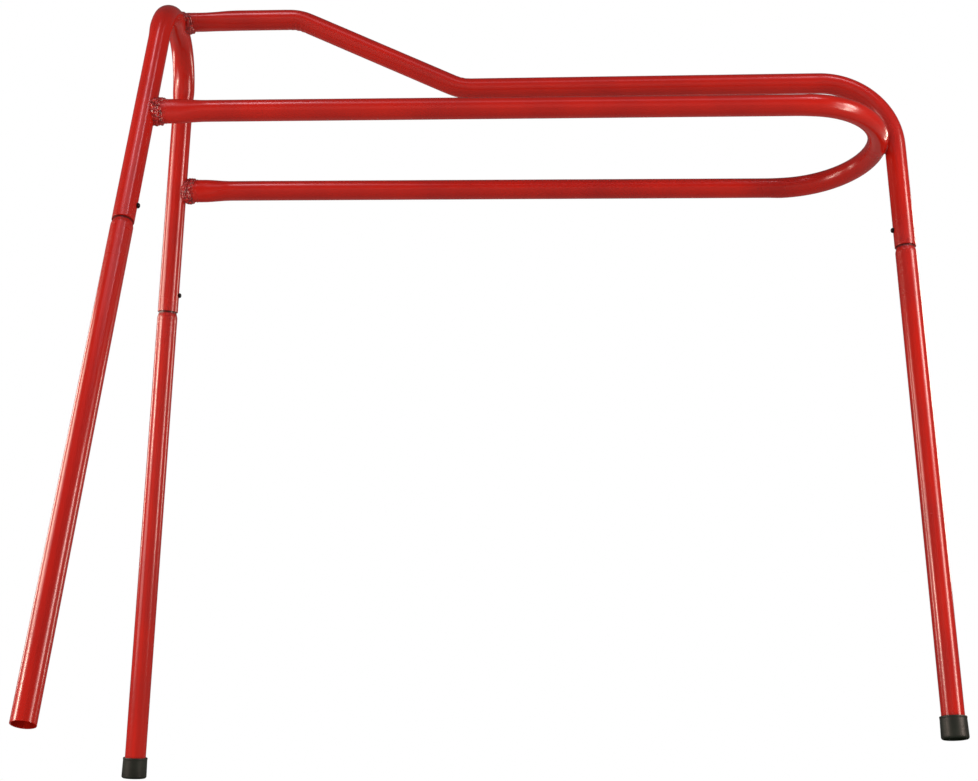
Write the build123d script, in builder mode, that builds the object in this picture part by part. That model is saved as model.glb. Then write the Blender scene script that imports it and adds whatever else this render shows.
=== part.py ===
from build123d import *
import os
from math import cos, radians, sin, sqrt, tan

# Saddle rack: a freestanding stand of bent and welded steel tube. A raked inverted-U hoop stands
# at the front, a dipped top rail runs back from it and turns down into the rear leg, and a
# hairpin of tube lies level under the rail to hold the saddle's panels. The three lower legs
# plug into the frame on swaged spigots, and a sprung button in each spigot locks it.
#
# Millimetres, +Z up. The origin is on the floor, midway between the hoop's feet and the rear
# tube, in the rack's plane of symmetry (Y = 0). +X runs from the hoop to the rear leg.

os.makedirs("parts", exist_ok=True)

# ---------------------------------------------------------------- tube
TUBE_OD = 25.4
TUBE_WALL = 1.5

# ---------------------------------------------------------------- front hoop
HOOP_TOP_Z = 910.5  # centreline of the flat at the top
HOOP_RAKE = 3.54  # degrees; the feet stand ahead of the top
HOOP_SPLAY = 11.19  # degrees; each leg leans out in the hoop's own plane
HOOP_SHOULDER = 67.2  # half the width between the leg lines, at the top line
HOOP_CORNER_R = 70.0
HOOP_LEG = 343.0  # shoulder to open socket end, along the leg

# ---------------------------------------------------------------- spine: top rail and rear tube
SPINE_LENGTH = 900.8  # hoop's top to the rear corner, along X
SPINE_OVER_HOOP = 8.0  # squashed front end's centre above the hoop's centreline
SPINE_END_DROP = 1.7  # that centre below the round tube's
SPINE_DIP = 104.3  # how far the rear stretch lies below the front one
SPINE_BEND_1 = 156.2  # hoop's top to the first bend, along X
SPINE_BEND_2 = 360.8  # hoop's top to the second bend
SPINE_BEND_R = 49.2
REAR_BEND_R = 87.3
REAR_RAKE = 1.01  # degrees; the rear foot stands slightly ahead of the corner
REAR_DROP = 228.0  # rear corner to open socket end, along the leg
SPINE_SQUASH = 3.7  # front end's thickness below the tube's
SPINE_STRETCH = 3.1  # front end's width over the tube's

# ---------------------------------------------------------------- saddle rail loop
RAIL_BELOW_TOP = 179.2  # hoop's top centreline to the rails, where they meet the hoop
RAIL_SLOPE = 0.53  # degrees; the loop falls towards the rear
RAIL_SPREAD = 0.30  # degrees; each rail leans out towards the rear
RAIL_SQUASH = 6.4  # flattened end's width below the tube's
RAIL_STRETCH = 5.6  # flattened end's height over the tube's
HAIRPIN_FLAT = 1.0  # straight left between the hairpin's two quarter turns
TIP_BITE = 0.8  # how deep the loop's tip is ground to seat on the rear tube

# ---------------------------------------------------------------- flattened tube ends
FLAT_LENGTH = 36.0  # from the crossed tube's axis, at the full squash
ROUND_AT = 72.0  # from the crossed tube's axis, where the tube is round again
SPINE_START = 2.0  # the spine's end beyond the hoop's axis

# ---------------------------------------------------------------- lower legs
SPIGOT_LENGTH = 55.0
SPIGOT_WALL = 1.5
SOCKET_CLEARANCE = 0.10  # radial, spigot in socket
SHOULDER_GAP = 0.5  # socket end to the leg's shoulder
SWAGE_LENGTH = 8.0  # tube reduced to spigot over this length
SWAGE_BLEND_R = 5.0
SPIGOT_CHAMFER = 0.6
SOCKET_CHAMFER = 0.4

# ---------------------------------------------------------------- snap buttons and their springs
BUTTON_R = 3.2
BUTTON_PROUD = 3.2  # beyond the outer tube
BUTTON_RISE = 22.0  # above the socket's end
BUTTON_CLEARANCE = 0.10  # radial, in both tubes' holes
BUTTON_DOME_R = 2.6
FLANGE_R = 4.4
FLANGE_THICK = 0.9
RIVET_R = 2.0
RIVET_HEAD_R = 2.9
RIVET_HEAD_THICK = 0.8
SPRING_GAP = 0.2  # to the button, and to the spigot's bore
STRIP_THICK = 0.6
STRIP_WIDTH = 8.0
STRIP_TAIL = 6.0  # button's centre to the near arm's free end
STRIP_RISE = 28.0  # button's centre to the corner of the V
STRIP_BEND_R = 1.8
FAR_ARM_TAIL = 8.0  # the far arm's free end below the button's centre
FAR_ARM_FLAT = 12.0  # the length of that arm lying along the bore
STRIP_KNEE_R = 6.0

# ---------------------------------------------------------------- ferrules
FERRULE_WALL = 2.0
FERRULE_FLARE = 0.5  # wider at the floor than at the mouth
FERRULE_HEIGHT = 25.0
FERRULE_FLOOR = 3.0
FERRULE_EDGE_R = 2.6
FERRULE_LIP_R = 0.8

# ---------------------------------------------------------------- weld beads
BEAD_TOE = 0.8  # bead's stand-off from the squashed tube at its far edge
BEAD_THROAT = 3.4  # and at the crossed tube
BEAD_REACH = 7.5  # beyond the crossed tube's surface
BEAD_BACK = 7.0  # start of the bead's collar before that surface
TIP_BEAD_R = 8.5
TIP_BEAD_HALF = 5.5

# ---------------------------------------------------------------- derived
tube_r = TUBE_OD / 2
socket_r = tube_r - TUBE_WALL
spigot_r = socket_r - SOCKET_CLEARANCE
spigot_bore_r = spigot_r - SPIGOT_WALL
ferrule_r = tube_r + FERRULE_WALL + FERRULE_FLARE
SKINS = ((0.0, Mode.ADD), (TUBE_WALL, Mode.SUBTRACT))  # the outside, then the bore

foot_run = HOOP_TOP_Z * tan(radians(HOOP_RAKE))
hoop_x = -(SPINE_LENGTH + tube_r - foot_run - ferrule_r) / 2
rear_x = hoop_x + SPINE_LENGTH
spine_end_z = HOOP_TOP_Z + SPINE_OVER_HOOP
spine_front_z = spine_end_z + SPINE_END_DROP
spine_rear_z = spine_front_z - SPINE_DIP
rail_z = HOOP_TOP_Z - RAIL_BELOW_TOP

rake_sin, rake_cos = sin(radians(HOOP_RAKE)), cos(radians(HOOP_RAKE))
splay_sin, splay_cos = sin(radians(HOOP_SPLAY)), cos(radians(HOOP_SPLAY))
rear_sin, rear_cos = sin(radians(REAR_RAKE)), cos(radians(REAR_RAKE))
slope_sin, slope_cos = sin(radians(RAIL_SLOPE)), cos(radians(RAIL_SLOPE))
spread_sin, spread_cos = sin(radians(RAIL_SPREAD)), cos(radians(RAIL_SPREAD))

NEAR, FAR = -1, 1  # sides of the rack: -Y and +Y

# ---------------------------------------------------------------- tube centrelines
# In the hoop's plane, local X is the rack's Y and local Y runs up the rake.
hoop_plane = Plane(origin=(hoop_x, 0, HOOP_TOP_Z), x_dir=(0, 1, 0), z_dir=(rake_cos, 0, -rake_sin))
socket_out = HOOP_SHOULDER + HOOP_LEG * splay_sin
socket_down = -HOOP_LEG * splay_cos

with BuildLine(hoop_plane) as hoop_path:
    FilletPolyline(
        (-socket_out, socket_down),
        (-HOOP_SHOULDER, 0),
        (HOOP_SHOULDER, 0),
        (socket_out, socket_down),
        radius=HOOP_CORNER_R,
    )

rear_end_x = rear_x - REAR_DROP * rear_sin
rear_end_z = spine_rear_z - REAR_DROP * rear_cos

with BuildLine(Plane.XZ) as spine_path:
    FilletPolyline(
        (hoop_x + ROUND_AT, spine_front_z),
        (hoop_x + SPINE_BEND_1, spine_front_z),
        (hoop_x + SPINE_BEND_2, spine_rear_z),
        (rear_x, spine_rear_z),
        (rear_end_x, rear_end_z),
        radius=[SPINE_BEND_R, SPINE_BEND_R, REAR_BEND_R],
    )

# The loop's plane starts where the rails cross the hoop's legs. Local X runs back along the
# rack and local Y is the rack's Y.
rail_x = hoop_x - RAIL_BELOW_TOP * tan(radians(HOOP_RAKE))
rail_half = HOOP_SHOULDER + RAIL_BELOW_TOP / rake_cos * tan(radians(HOOP_SPLAY))
loop_plane = Plane(
    origin=(rail_x, 0, rail_z), x_dir=(slope_cos, 0, -slope_sin), z_dir=(slope_sin, 0, slope_cos)
)
rear_tube_x = rear_x - (spine_rear_z - rail_z) * tan(radians(REAR_RAKE))
tip_standoff = (TUBE_OD - TIP_BITE) / rear_cos
loop_reach = (rear_tube_x - tip_standoff - rail_x) / (slope_cos + slope_sin * tan(radians(REAR_RAKE)))
tip_half = rail_half + loop_reach * tan(radians(RAIL_SPREAD))
hairpin_r = (tip_half - HAIRPIN_FLAT / 2) / tan(radians((90 + RAIL_SPREAD) / 2))


def rail_point(side: int, distance: float) -> tuple[float, float]:
    """Where a rail's centreline is in the loop's plane, by its distance from the hoop leg's axis."""
    return distance * spread_cos, side * (rail_half + distance * spread_sin)


with BuildLine(loop_plane) as loop_path:
    FilletPolyline(
        rail_point(NEAR, ROUND_AT),
        (loop_reach, NEAR * tip_half),
        (loop_reach, FAR * tip_half),
        rail_point(FAR, ROUND_AT),
        radius=hairpin_r,
    )


def rail_plane(side: int) -> Plane:
    """Plane across a rail at the hoop leg's axis: +Z along the rail, local X upright."""
    start = loop_plane.from_local_coords(Vector(*rail_point(side, 0)))
    ahead = loop_plane.from_local_coords(Vector(*rail_point(side, 1)))
    return Plane(origin=start, x_dir=loop_plane.z_dir, z_dir=ahead - start)


def hoop_seat(side: int) -> Plane:
    """Plane at a hoop leg's open end: +Z back up the tube, +X towards its button."""
    end = hoop_plane.from_local_coords(Vector(side * socket_out, socket_down))
    shoulder = hoop_plane.from_local_coords(Vector(side * HOOP_SHOULDER, 0))
    return Plane(origin=end, x_dir=hoop_plane.z_dir, z_dir=shoulder - end)


near_seat = hoop_seat(NEAR)
far_seat = hoop_seat(FAR)
rear_seat = Plane(
    origin=(rear_end_x, 0, rear_end_z), x_dir=(-rear_cos, 0, rear_sin), z_dir=(rear_sin, 0, rear_cos)
)
SEATS = {"near": near_seat, "far": far_seat, "rear": rear_seat}


def button_plane(seat: Plane) -> Plane:
    """Plane across a button's axis, at the tube's axis: +Z outwards through the hole."""
    return Plane(origin=seat.origin + seat.z_dir * BUTTON_RISE, x_dir=seat.z_dir, z_dir=seat.x_dir)


def radial_plane(seat: Plane) -> Plane:
    """Plane along a tube's axis: local X towards the button, local Y up the tube."""
    return Plane(origin=seat.origin, x_dir=seat.x_dir, z_dir=-seat.y_dir)


# ---------------------------------------------------------------- solid tubes, for cutting
with BuildPart() as hoop_rod:
    with BuildSketch(Plane(origin=hoop_path.line @ 0, z_dir=hoop_path.line % 0)):
        Circle(tube_r)
    sweep(path=hoop_path.line)

with BuildPart() as rear_rod:
    with BuildSketch(Plane(origin=spine_path.line @ 0, z_dir=spine_path.line % 0)):
        Circle(tube_r)
    sweep(path=spine_path.line)

# ---------------------------------------------------------------- front_hoop
with BuildPart() as front_hoop:
    add(hoop_rod.part)
    with BuildSketch(Plane(origin=hoop_path.line @ 0, z_dir=hoop_path.line % 0)):
        Circle(socket_r)
    sweep(path=hoop_path.line, mode=Mode.SUBTRACT)
    for seat in (near_seat, far_seat):
        mouth = front_hoop.edges().filter_by(GeomType.CIRCLE).sort_by_distance(seat.origin)[0]
        chamfer(mouth, SOCKET_CHAMFER)
        with BuildSketch(button_plane(seat)):
            Circle(BUTTON_R + BUTTON_CLEARANCE)
        extrude(amount=TUBE_OD, mode=Mode.SUBTRACT)

# ---------------------------------------------------------------- spine
with BuildPart() as spine:
    for skin, mode in SKINS:
        with BuildSketch(Plane.YZ.offset(hoop_x + SPINE_START)):
            with Locations((0, spine_end_z)):
                Ellipse(tube_r + SPINE_STRETCH / 2 - skin, tube_r - SPINE_SQUASH / 2 - skin)
        extrude(amount=FLAT_LENGTH - SPINE_START, mode=mode)
        with BuildSketch(Plane.YZ.offset(hoop_x + FLAT_LENGTH)):
            with Locations((0, spine_end_z)):
                Ellipse(tube_r + SPINE_STRETCH / 2 - skin, tube_r - SPINE_SQUASH / 2 - skin)
        with BuildSketch(Plane.YZ.offset(hoop_x + ROUND_AT)):
            with Locations((0, spine_front_z)):
                Circle(tube_r - skin)
        loft(mode=mode)
        with BuildSketch(Plane(origin=spine_path.line @ 0, z_dir=spine_path.line % 0)):
            Circle(tube_r - skin)
        sweep(path=spine_path.line, mode=mode)
    add(hoop_rod.part, mode=Mode.SUBTRACT)
    mouth = spine.edges().filter_by(GeomType.CIRCLE).sort_by_distance(rear_seat.origin)[0]
    chamfer(mouth, SOCKET_CHAMFER)
    with BuildSketch(button_plane(rear_seat)):
        Circle(BUTTON_R + BUTTON_CLEARANCE)
    extrude(amount=TUBE_OD, mode=Mode.SUBTRACT)

# ---------------------------------------------------------------- saddle_rail_loop
with BuildPart() as saddle_rail_loop:
    for skin, mode in SKINS:
        for side in (NEAR, FAR):
            with BuildSketch(rail_plane(side)):
                Ellipse(tube_r + RAIL_STRETCH / 2 - skin, tube_r - RAIL_SQUASH / 2 - skin)
            extrude(amount=FLAT_LENGTH, mode=mode)
            with BuildSketch(rail_plane(side).offset(FLAT_LENGTH)):
                Ellipse(tube_r + RAIL_STRETCH / 2 - skin, tube_r - RAIL_SQUASH / 2 - skin)
            with BuildSketch(rail_plane(side).offset(ROUND_AT)):
                Circle(tube_r - skin)
            loft(mode=mode)
        with BuildSketch(Plane(origin=loop_path.line @ 0, z_dir=loop_path.line % 0)):
            Circle(tube_r - skin)
        sweep(path=loop_path.line, mode=mode)
    add(hoop_rod.part, mode=Mode.SUBTRACT)
    add(rear_rod.part, mode=Mode.SUBTRACT)

# ---------------------------------------------------------------- weld beads
# Each bead is a collar round the squashed tube's end, cut back to the two tubes that it joins.
with BuildPart() as spine_weld:
    with BuildSketch(Plane.YZ.offset(hoop_x + tube_r - BEAD_BACK - SPINE_OVER_HOOP)):
        with Locations((0, spine_end_z)):
            Ellipse(tube_r + SPINE_STRETCH / 2 + BEAD_THROAT, tube_r - SPINE_SQUASH / 2 + BEAD_THROAT)
    with BuildSketch(Plane.YZ.offset(hoop_x + tube_r + BEAD_REACH)):
        with Locations((0, spine_end_z)):
            Ellipse(tube_r + SPINE_STRETCH / 2 + BEAD_TOE, tube_r - SPINE_SQUASH / 2 + BEAD_TOE)
    loft()
    with BuildSketch(Plane.YZ.offset(hoop_x + SPINE_START)):
        with Locations((0, spine_end_z)):
            Ellipse(tube_r + SPINE_STRETCH / 2, tube_r - SPINE_SQUASH / 2)
    extrude(amount=FLAT_LENGTH, mode=Mode.SUBTRACT)
    add(hoop_rod.part, mode=Mode.SUBTRACT)


def rail_weld(side: int) -> BuildPart:
    """Bead round a rail's flattened end, on its hoop leg."""
    across = rail_plane(side)
    with BuildPart() as bead:
        with BuildSketch(across.offset(tube_r - BEAD_BACK)):
            Ellipse(tube_r + RAIL_STRETCH / 2 + BEAD_THROAT, tube_r - RAIL_SQUASH / 2 + BEAD_THROAT)
        with BuildSketch(across.offset(tube_r + BEAD_REACH)):
            Ellipse(tube_r + RAIL_STRETCH / 2 + BEAD_TOE, tube_r - RAIL_SQUASH / 2 + BEAD_TOE)
        loft()
        with BuildSketch(across):
            Ellipse(tube_r + RAIL_STRETCH / 2, tube_r - RAIL_SQUASH / 2)
        extrude(amount=FLAT_LENGTH, mode=Mode.SUBTRACT)
        add(hoop_rod.part, mode=Mode.SUBTRACT)
    return bead


near_rail_weld = rail_weld(NEAR)
far_rail_weld = rail_weld(FAR)

with BuildPart() as loop_rod:
    with BuildSketch(Plane(origin=loop_path.line @ 0, z_dir=loop_path.line % 0)):
        Circle(tube_r)
    sweep(path=loop_path.line)

tip = loop_plane.from_local_coords(Vector(loop_reach, 0))
with BuildPart() as tip_weld:
    with BuildSketch(Plane.YZ.offset(tip.X + tube_r - TIP_BEAD_HALF)):
        with Locations((0, tip.Z)):
            Circle(TIP_BEAD_R)
    extrude(amount=2 * TIP_BEAD_HALF)
    add(loop_rod.part, mode=Mode.SUBTRACT)
    add(rear_rod.part, mode=Mode.SUBTRACT)


# ---------------------------------------------------------------- lower legs
def axis_tilt(seat: Plane) -> tuple[float, float]:
    """Sine and cosine of the angle between a leg's axis and the vertical."""
    return sqrt(1 - seat.z_dir.Z**2), seat.z_dir.Z


def bare_length(seat: Plane) -> float:
    """From the socket's end to a plain tube end whose lowest edge is on the floor."""
    tilt_sin, tilt_cos = axis_tilt(seat)
    return (seat.origin.Z - tube_r * tilt_sin) / tilt_cos


def shod_length(seat: Plane) -> float:
    """From the socket's end to the bottom of a ferrule whose rounded edge is on the floor."""
    tilt_sin, tilt_cos = axis_tilt(seat)
    foot_z = (ferrule_r - FERRULE_EDGE_R) * tilt_sin + FERRULE_EDGE_R * (1 - tilt_cos)
    return (seat.origin.Z - foot_z) / tilt_cos


def lower_leg(seat: Plane, length: float) -> BuildPart:
    """Lower leg: a tube with its top swaged to a spigot, drilled for the button."""
    neck = -SHOULDER_GAP
    with BuildPart() as leg:
        with BuildSketch(radial_plane(seat)):
            with BuildLine():
                outside = FilletPolyline(
                    (tube_r, -length),
                    (tube_r, neck - SWAGE_LENGTH),
                    (spigot_r, neck),
                    (spigot_r, SPIGOT_LENGTH),
                    radius=SWAGE_BLEND_R,
                )
                bore = FilletPolyline(
                    (tube_r - TUBE_WALL, -length),
                    (tube_r - TUBE_WALL, neck - SWAGE_LENGTH),
                    (spigot_bore_r, neck),
                    (spigot_bore_r, SPIGOT_LENGTH),
                    radius=SWAGE_BLEND_R,
                )
                Line(outside @ 0, bore @ 0)
                Line(outside @ 1, bore @ 1)
            make_face()
        revolve(axis=Axis(seat.origin, seat.z_dir))
        rims = leg.edges().filter_by(GeomType.CIRCLE)
        spigot_rim = rims.sort_by_distance(seat.origin + seat.z_dir * SPIGOT_LENGTH)[1]
        chamfer(spigot_rim, SPIGOT_CHAMFER)
        with BuildSketch(button_plane(seat)):
            Circle(BUTTON_R + BUTTON_CLEARANCE)
        extrude(amount=TUBE_OD, mode=Mode.SUBTRACT)
    return leg


near_leg = lower_leg(near_seat, bare_length(near_seat))
far_leg = lower_leg(far_seat, shod_length(far_seat) - FERRULE_FLOOR)
rear_leg = lower_leg(rear_seat, shod_length(rear_seat) - FERRULE_FLOOR)


# ---------------------------------------------------------------- ferrules
def ferrule(seat: Plane) -> BuildPart:
    """Rubber cup over a leg's end, flared a little towards the floor."""
    bottom = -shod_length(seat)
    with BuildPart() as cup:
        with BuildSketch(radial_plane(seat)):
            with BuildLine():
                Polyline(
                    (0, bottom),
                    (ferrule_r, bottom),
                    (tube_r + FERRULE_WALL, bottom + FERRULE_HEIGHT),
                    (tube_r, bottom + FERRULE_HEIGHT),
                    (tube_r, bottom + FERRULE_FLOOR),
                    (0, bottom + FERRULE_FLOOR),
                    close=True,
                )
            outline = make_face()
            fillet(outline.vertices().sort_by_distance((ferrule_r, bottom, 0))[0], FERRULE_EDGE_R)
            lip = (tube_r + FERRULE_WALL, bottom + FERRULE_HEIGHT, 0)
            fillet(outline.vertices().sort_by_distance(lip)[0], FERRULE_LIP_R)
        revolve(axis=Axis(seat.origin, seat.z_dir))
    return cup


far_ferrule = ferrule(far_seat)
rear_ferrule = ferrule(rear_seat)

# ---------------------------------------------------------------- snap buttons and springs
flange_face = sqrt(spigot_bore_r**2 - FLANGE_R**2) - SPRING_GAP
flange_back = flange_face - FLANGE_THICK
arm_face = flange_back - SPRING_GAP
arm_back = arm_face - STRIP_THICK
rivet_seat = arm_back - SPRING_GAP
button_tip = tube_r + BUTTON_PROUD
far_arm = -(sqrt(spigot_bore_r**2 - (STRIP_WIDTH / 2) ** 2) - SPRING_GAP - STRIP_THICK / 2)


def snap_button(seat: Plane) -> BuildPart:
    """Domed button with a flange inside the spigot and a riveted tail."""
    through = button_plane(seat)
    with BuildPart() as button:
        with BuildSketch(Plane(origin=through.origin, x_dir=through.z_dir, z_dir=seat.y_dir)):
            with BuildLine():
                Polyline(
                    (button_tip, 0),
                    (button_tip, BUTTON_R),
                    (flange_face, BUTTON_R),
                    (flange_face, FLANGE_R),
                    (flange_back, FLANGE_R),
                    (flange_back, RIVET_R),
                    (rivet_seat, RIVET_R),
                    (rivet_seat, RIVET_HEAD_R),
                    (rivet_seat - RIVET_HEAD_THICK, RIVET_HEAD_R),
                    (rivet_seat - RIVET_HEAD_THICK, 0),
                    close=True,
                )
            outline = make_face()
            fillet(outline.vertices().sort_by_distance((button_tip, BUTTON_R, 0))[0], BUTTON_DOME_R)
        revolve(axis=Axis(through.origin, through.z_dir))
    return button


def button_spring(seat: Plane) -> BuildPart:
    """V of spring strip: one arm carries the button, the other lies on the bore's far wall."""
    near_arm = (arm_face + arm_back) / 2
    foot = BUTTON_RISE - STRIP_TAIL
    with BuildPart() as spring:
        with BuildSketch(radial_plane(seat)):
            with BuildLine():
                FilletPolyline(
                    (near_arm, foot),
                    (near_arm, BUTTON_RISE + STRIP_TAIL),
                    ((near_arm + far_arm) / 2, BUTTON_RISE + STRIP_RISE),
                    (far_arm, BUTTON_RISE - FAR_ARM_TAIL + FAR_ARM_FLAT),
                    (far_arm, BUTTON_RISE - FAR_ARM_TAIL),
                    radius=[STRIP_KNEE_R, STRIP_BEND_R, STRIP_KNEE_R],
                )
            trace(line_width=STRIP_THICK)
        extrude(amount=STRIP_WIDTH / 2, both=True)
        with BuildSketch(button_plane(seat)):
            Circle(RIVET_R + SPRING_GAP)
        extrude(amount=TUBE_OD, mode=Mode.SUBTRACT)
    return spring


# ---------------------------------------------------------------- pieces
PIECES = {
    "front_hoop": front_hoop,
    "spine": spine,
    "saddle_rail_loop": saddle_rail_loop,
    "spine_weld": spine_weld,
    "near_rail_weld": near_rail_weld,
    "far_rail_weld": far_rail_weld,
    "tip_weld": tip_weld,
    "near_leg": near_leg,
    "far_leg": far_leg,
    "rear_leg": rear_leg,
    "far_ferrule": far_ferrule,
    "rear_ferrule": rear_ferrule,
}
for place, seat in SEATS.items():
    PIECES[f"{place}_snap_button"] = snap_button(seat)
    PIECES[f"{place}_button_spring"] = button_spring(seat)

for name, piece in PIECES.items():
    piece.part.label = name
    export_step(piece.part, f"parts/{name}.step")
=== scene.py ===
"""Looks of the saddle rack: bent steel tube, welded and powder coated, on three plug-in legs.

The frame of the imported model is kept: +Z up, +X from the hoop to the rear leg, origin on the
floor. Shapes are worked out in millimetres and turned to metres when a piece is finished.
"""

import logging
import math
from collections.abc import Callable, Sequence
from dataclasses import dataclass, field
from enum import Enum

import bmesh
import bpy
import numpy as np
from mathutils import Euler, Matrix, Vector


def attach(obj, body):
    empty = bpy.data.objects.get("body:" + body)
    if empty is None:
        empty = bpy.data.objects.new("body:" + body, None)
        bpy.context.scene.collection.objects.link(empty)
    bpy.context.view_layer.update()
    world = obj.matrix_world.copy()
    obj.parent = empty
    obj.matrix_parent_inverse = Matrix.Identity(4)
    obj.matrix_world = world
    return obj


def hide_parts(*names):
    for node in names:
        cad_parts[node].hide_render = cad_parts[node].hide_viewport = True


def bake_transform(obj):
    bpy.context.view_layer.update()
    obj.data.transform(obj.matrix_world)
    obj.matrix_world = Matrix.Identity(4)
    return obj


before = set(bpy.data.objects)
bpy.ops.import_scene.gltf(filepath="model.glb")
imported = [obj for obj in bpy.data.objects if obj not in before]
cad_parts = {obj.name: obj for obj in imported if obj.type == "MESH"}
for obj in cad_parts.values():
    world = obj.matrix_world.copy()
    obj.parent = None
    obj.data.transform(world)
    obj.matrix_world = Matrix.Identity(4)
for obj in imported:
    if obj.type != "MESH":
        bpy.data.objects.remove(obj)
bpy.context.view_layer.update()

log = logging.getLogger("saddle_rack")
MM = 0.001  # metres in a millimetre
GRIT_MM = 2.6  # grain of the coat over a swage or a weld
BEAD_STEP = 0.45  # spacing of a bead's rings
BEAD_SIDES = 22  # facets round a bead
EDGE_ANGLE = 50  # degrees; a wall's edge is sharper than this, and is rounded


class Side(Enum):
    """The three places where a lower leg plugs in."""

    NEAR = "near"
    FAR = "far"
    REAR = "rear"


# ------------------------------------------------------------------ sizes shared by the parts


@dataclass(frozen=True)
class Stock:
    """The steel tube that everything is made of, in millimetres."""

    radius: float = 12.7
    wall: float = 1.5
    sides: int = 80  # facets round a tube


@dataclass(frozen=True)
class Layout:
    """Driving dimensions of the rack, in millimetres and degrees."""

    hoop_top: float = 910.5
    hoop_rake: float = 3.54
    hoop_splay: float = 11.19
    hoop_shoulder: float = 67.2
    hoop_leg: float = 343.0
    spine_length: float = 900.8
    spine_over_hoop: float = 8.0
    spine_end_drop: float = 1.7
    spine_dip: float = 104.3
    rear_rake: float = 1.01
    rear_drop: float = 228.0
    rail_below_top: float = 179.2
    rail_slope: float = 0.53
    ferrule_radius: float = 15.2

    @property
    def hoop_x(self) -> float:
        """The hoop's top, along X."""
        foot_run = self.hoop_top * math.tan(math.radians(self.hoop_rake))
        return -(self.spine_length + Stock.radius - foot_run - self.ferrule_radius) / 2

    @property
    def rear_x(self) -> float:
        """The rear corner of the spine, along X."""
        return self.hoop_x + self.spine_length

    @property
    def hoop_normal(self) -> Vector:
        """Unit normal of the hoop's plane, towards the rear."""
        rake = math.radians(self.hoop_rake)
        return Vector((math.cos(rake), 0, -math.sin(rake)))

    def on_hoop(self, out: float, up: float) -> Vector:
        """A point of the hoop's plane, by its distance out along Y and up the rake."""
        rake = math.radians(self.hoop_rake)
        return Vector((self.hoop_x + up * math.sin(rake), out, self.hoop_top + up * math.cos(rake)))

    def hoop_end(self, side: int) -> Vector:
        """Centre of a hoop leg's open end.

        Args:
            side: -1 for the near leg, 1 for the far one.

        Returns:
            The centre.
        """
        splay = math.radians(self.hoop_splay)
        out = self.hoop_shoulder + self.hoop_leg * math.sin(splay)
        return self.on_hoop(side * out, -self.hoop_leg * math.cos(splay))

    @property
    def spine_rear_z(self) -> float:
        """Height of the spine's low rear stretch."""
        return self.hoop_top + self.spine_over_hoop + self.spine_end_drop - self.spine_dip

    @property
    def rear_up(self) -> Vector:
        """Unit vector up the rear tube."""
        rake = math.radians(self.rear_rake)
        return Vector((math.sin(rake), 0, math.cos(rake)))

    @property
    def rear_end(self) -> Vector:
        """Centre of the rear tube's open end."""
        return Vector((self.rear_x, 0, self.spine_rear_z)) - self.rear_up * self.rear_drop


@dataclass(frozen=True)
class Seat:
    """A socket's open end: its centre, the way up the tube, and the way out to the button."""

    origin: Vector
    up: Vector
    out: Vector

    @property
    def side(self) -> Vector:
        """The third axis, level with the button's."""
        return self.up.cross(self.out)

    def point(self, out: float, side: float, up: float) -> Vector:
        """A point by its distances along the three axes."""
        return self.origin + self.out * out + self.side * side + self.up * up


def seat_of(side: Side, layout: Layout) -> Seat:
    """Where a lower leg plugs in.

    Args:
        side: which leg.
        layout: the rack's driving dimensions.

    Returns:
        The seat at the end of the tube that takes the leg.
    """
    if side is Side.REAR:
        up = layout.rear_up
        return Seat(layout.rear_end, up, Vector((-up.z, 0, up.x)))
    sign = -1 if side is Side.NEAR else 1
    end = layout.hoop_end(sign)
    up = (layout.on_hoop(sign * layout.hoop_shoulder, 0) - end).normalized()
    return Seat(end, up, layout.hoop_normal)


# ------------------------------------------------------------------ lines that tubes follow


@dataclass(frozen=True)
class Run:
    """A straight or an arc of a line. bend is 1 / radius, positive towards across x heading."""

    start: Vector
    heading: Vector
    length: float
    bend: float


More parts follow.
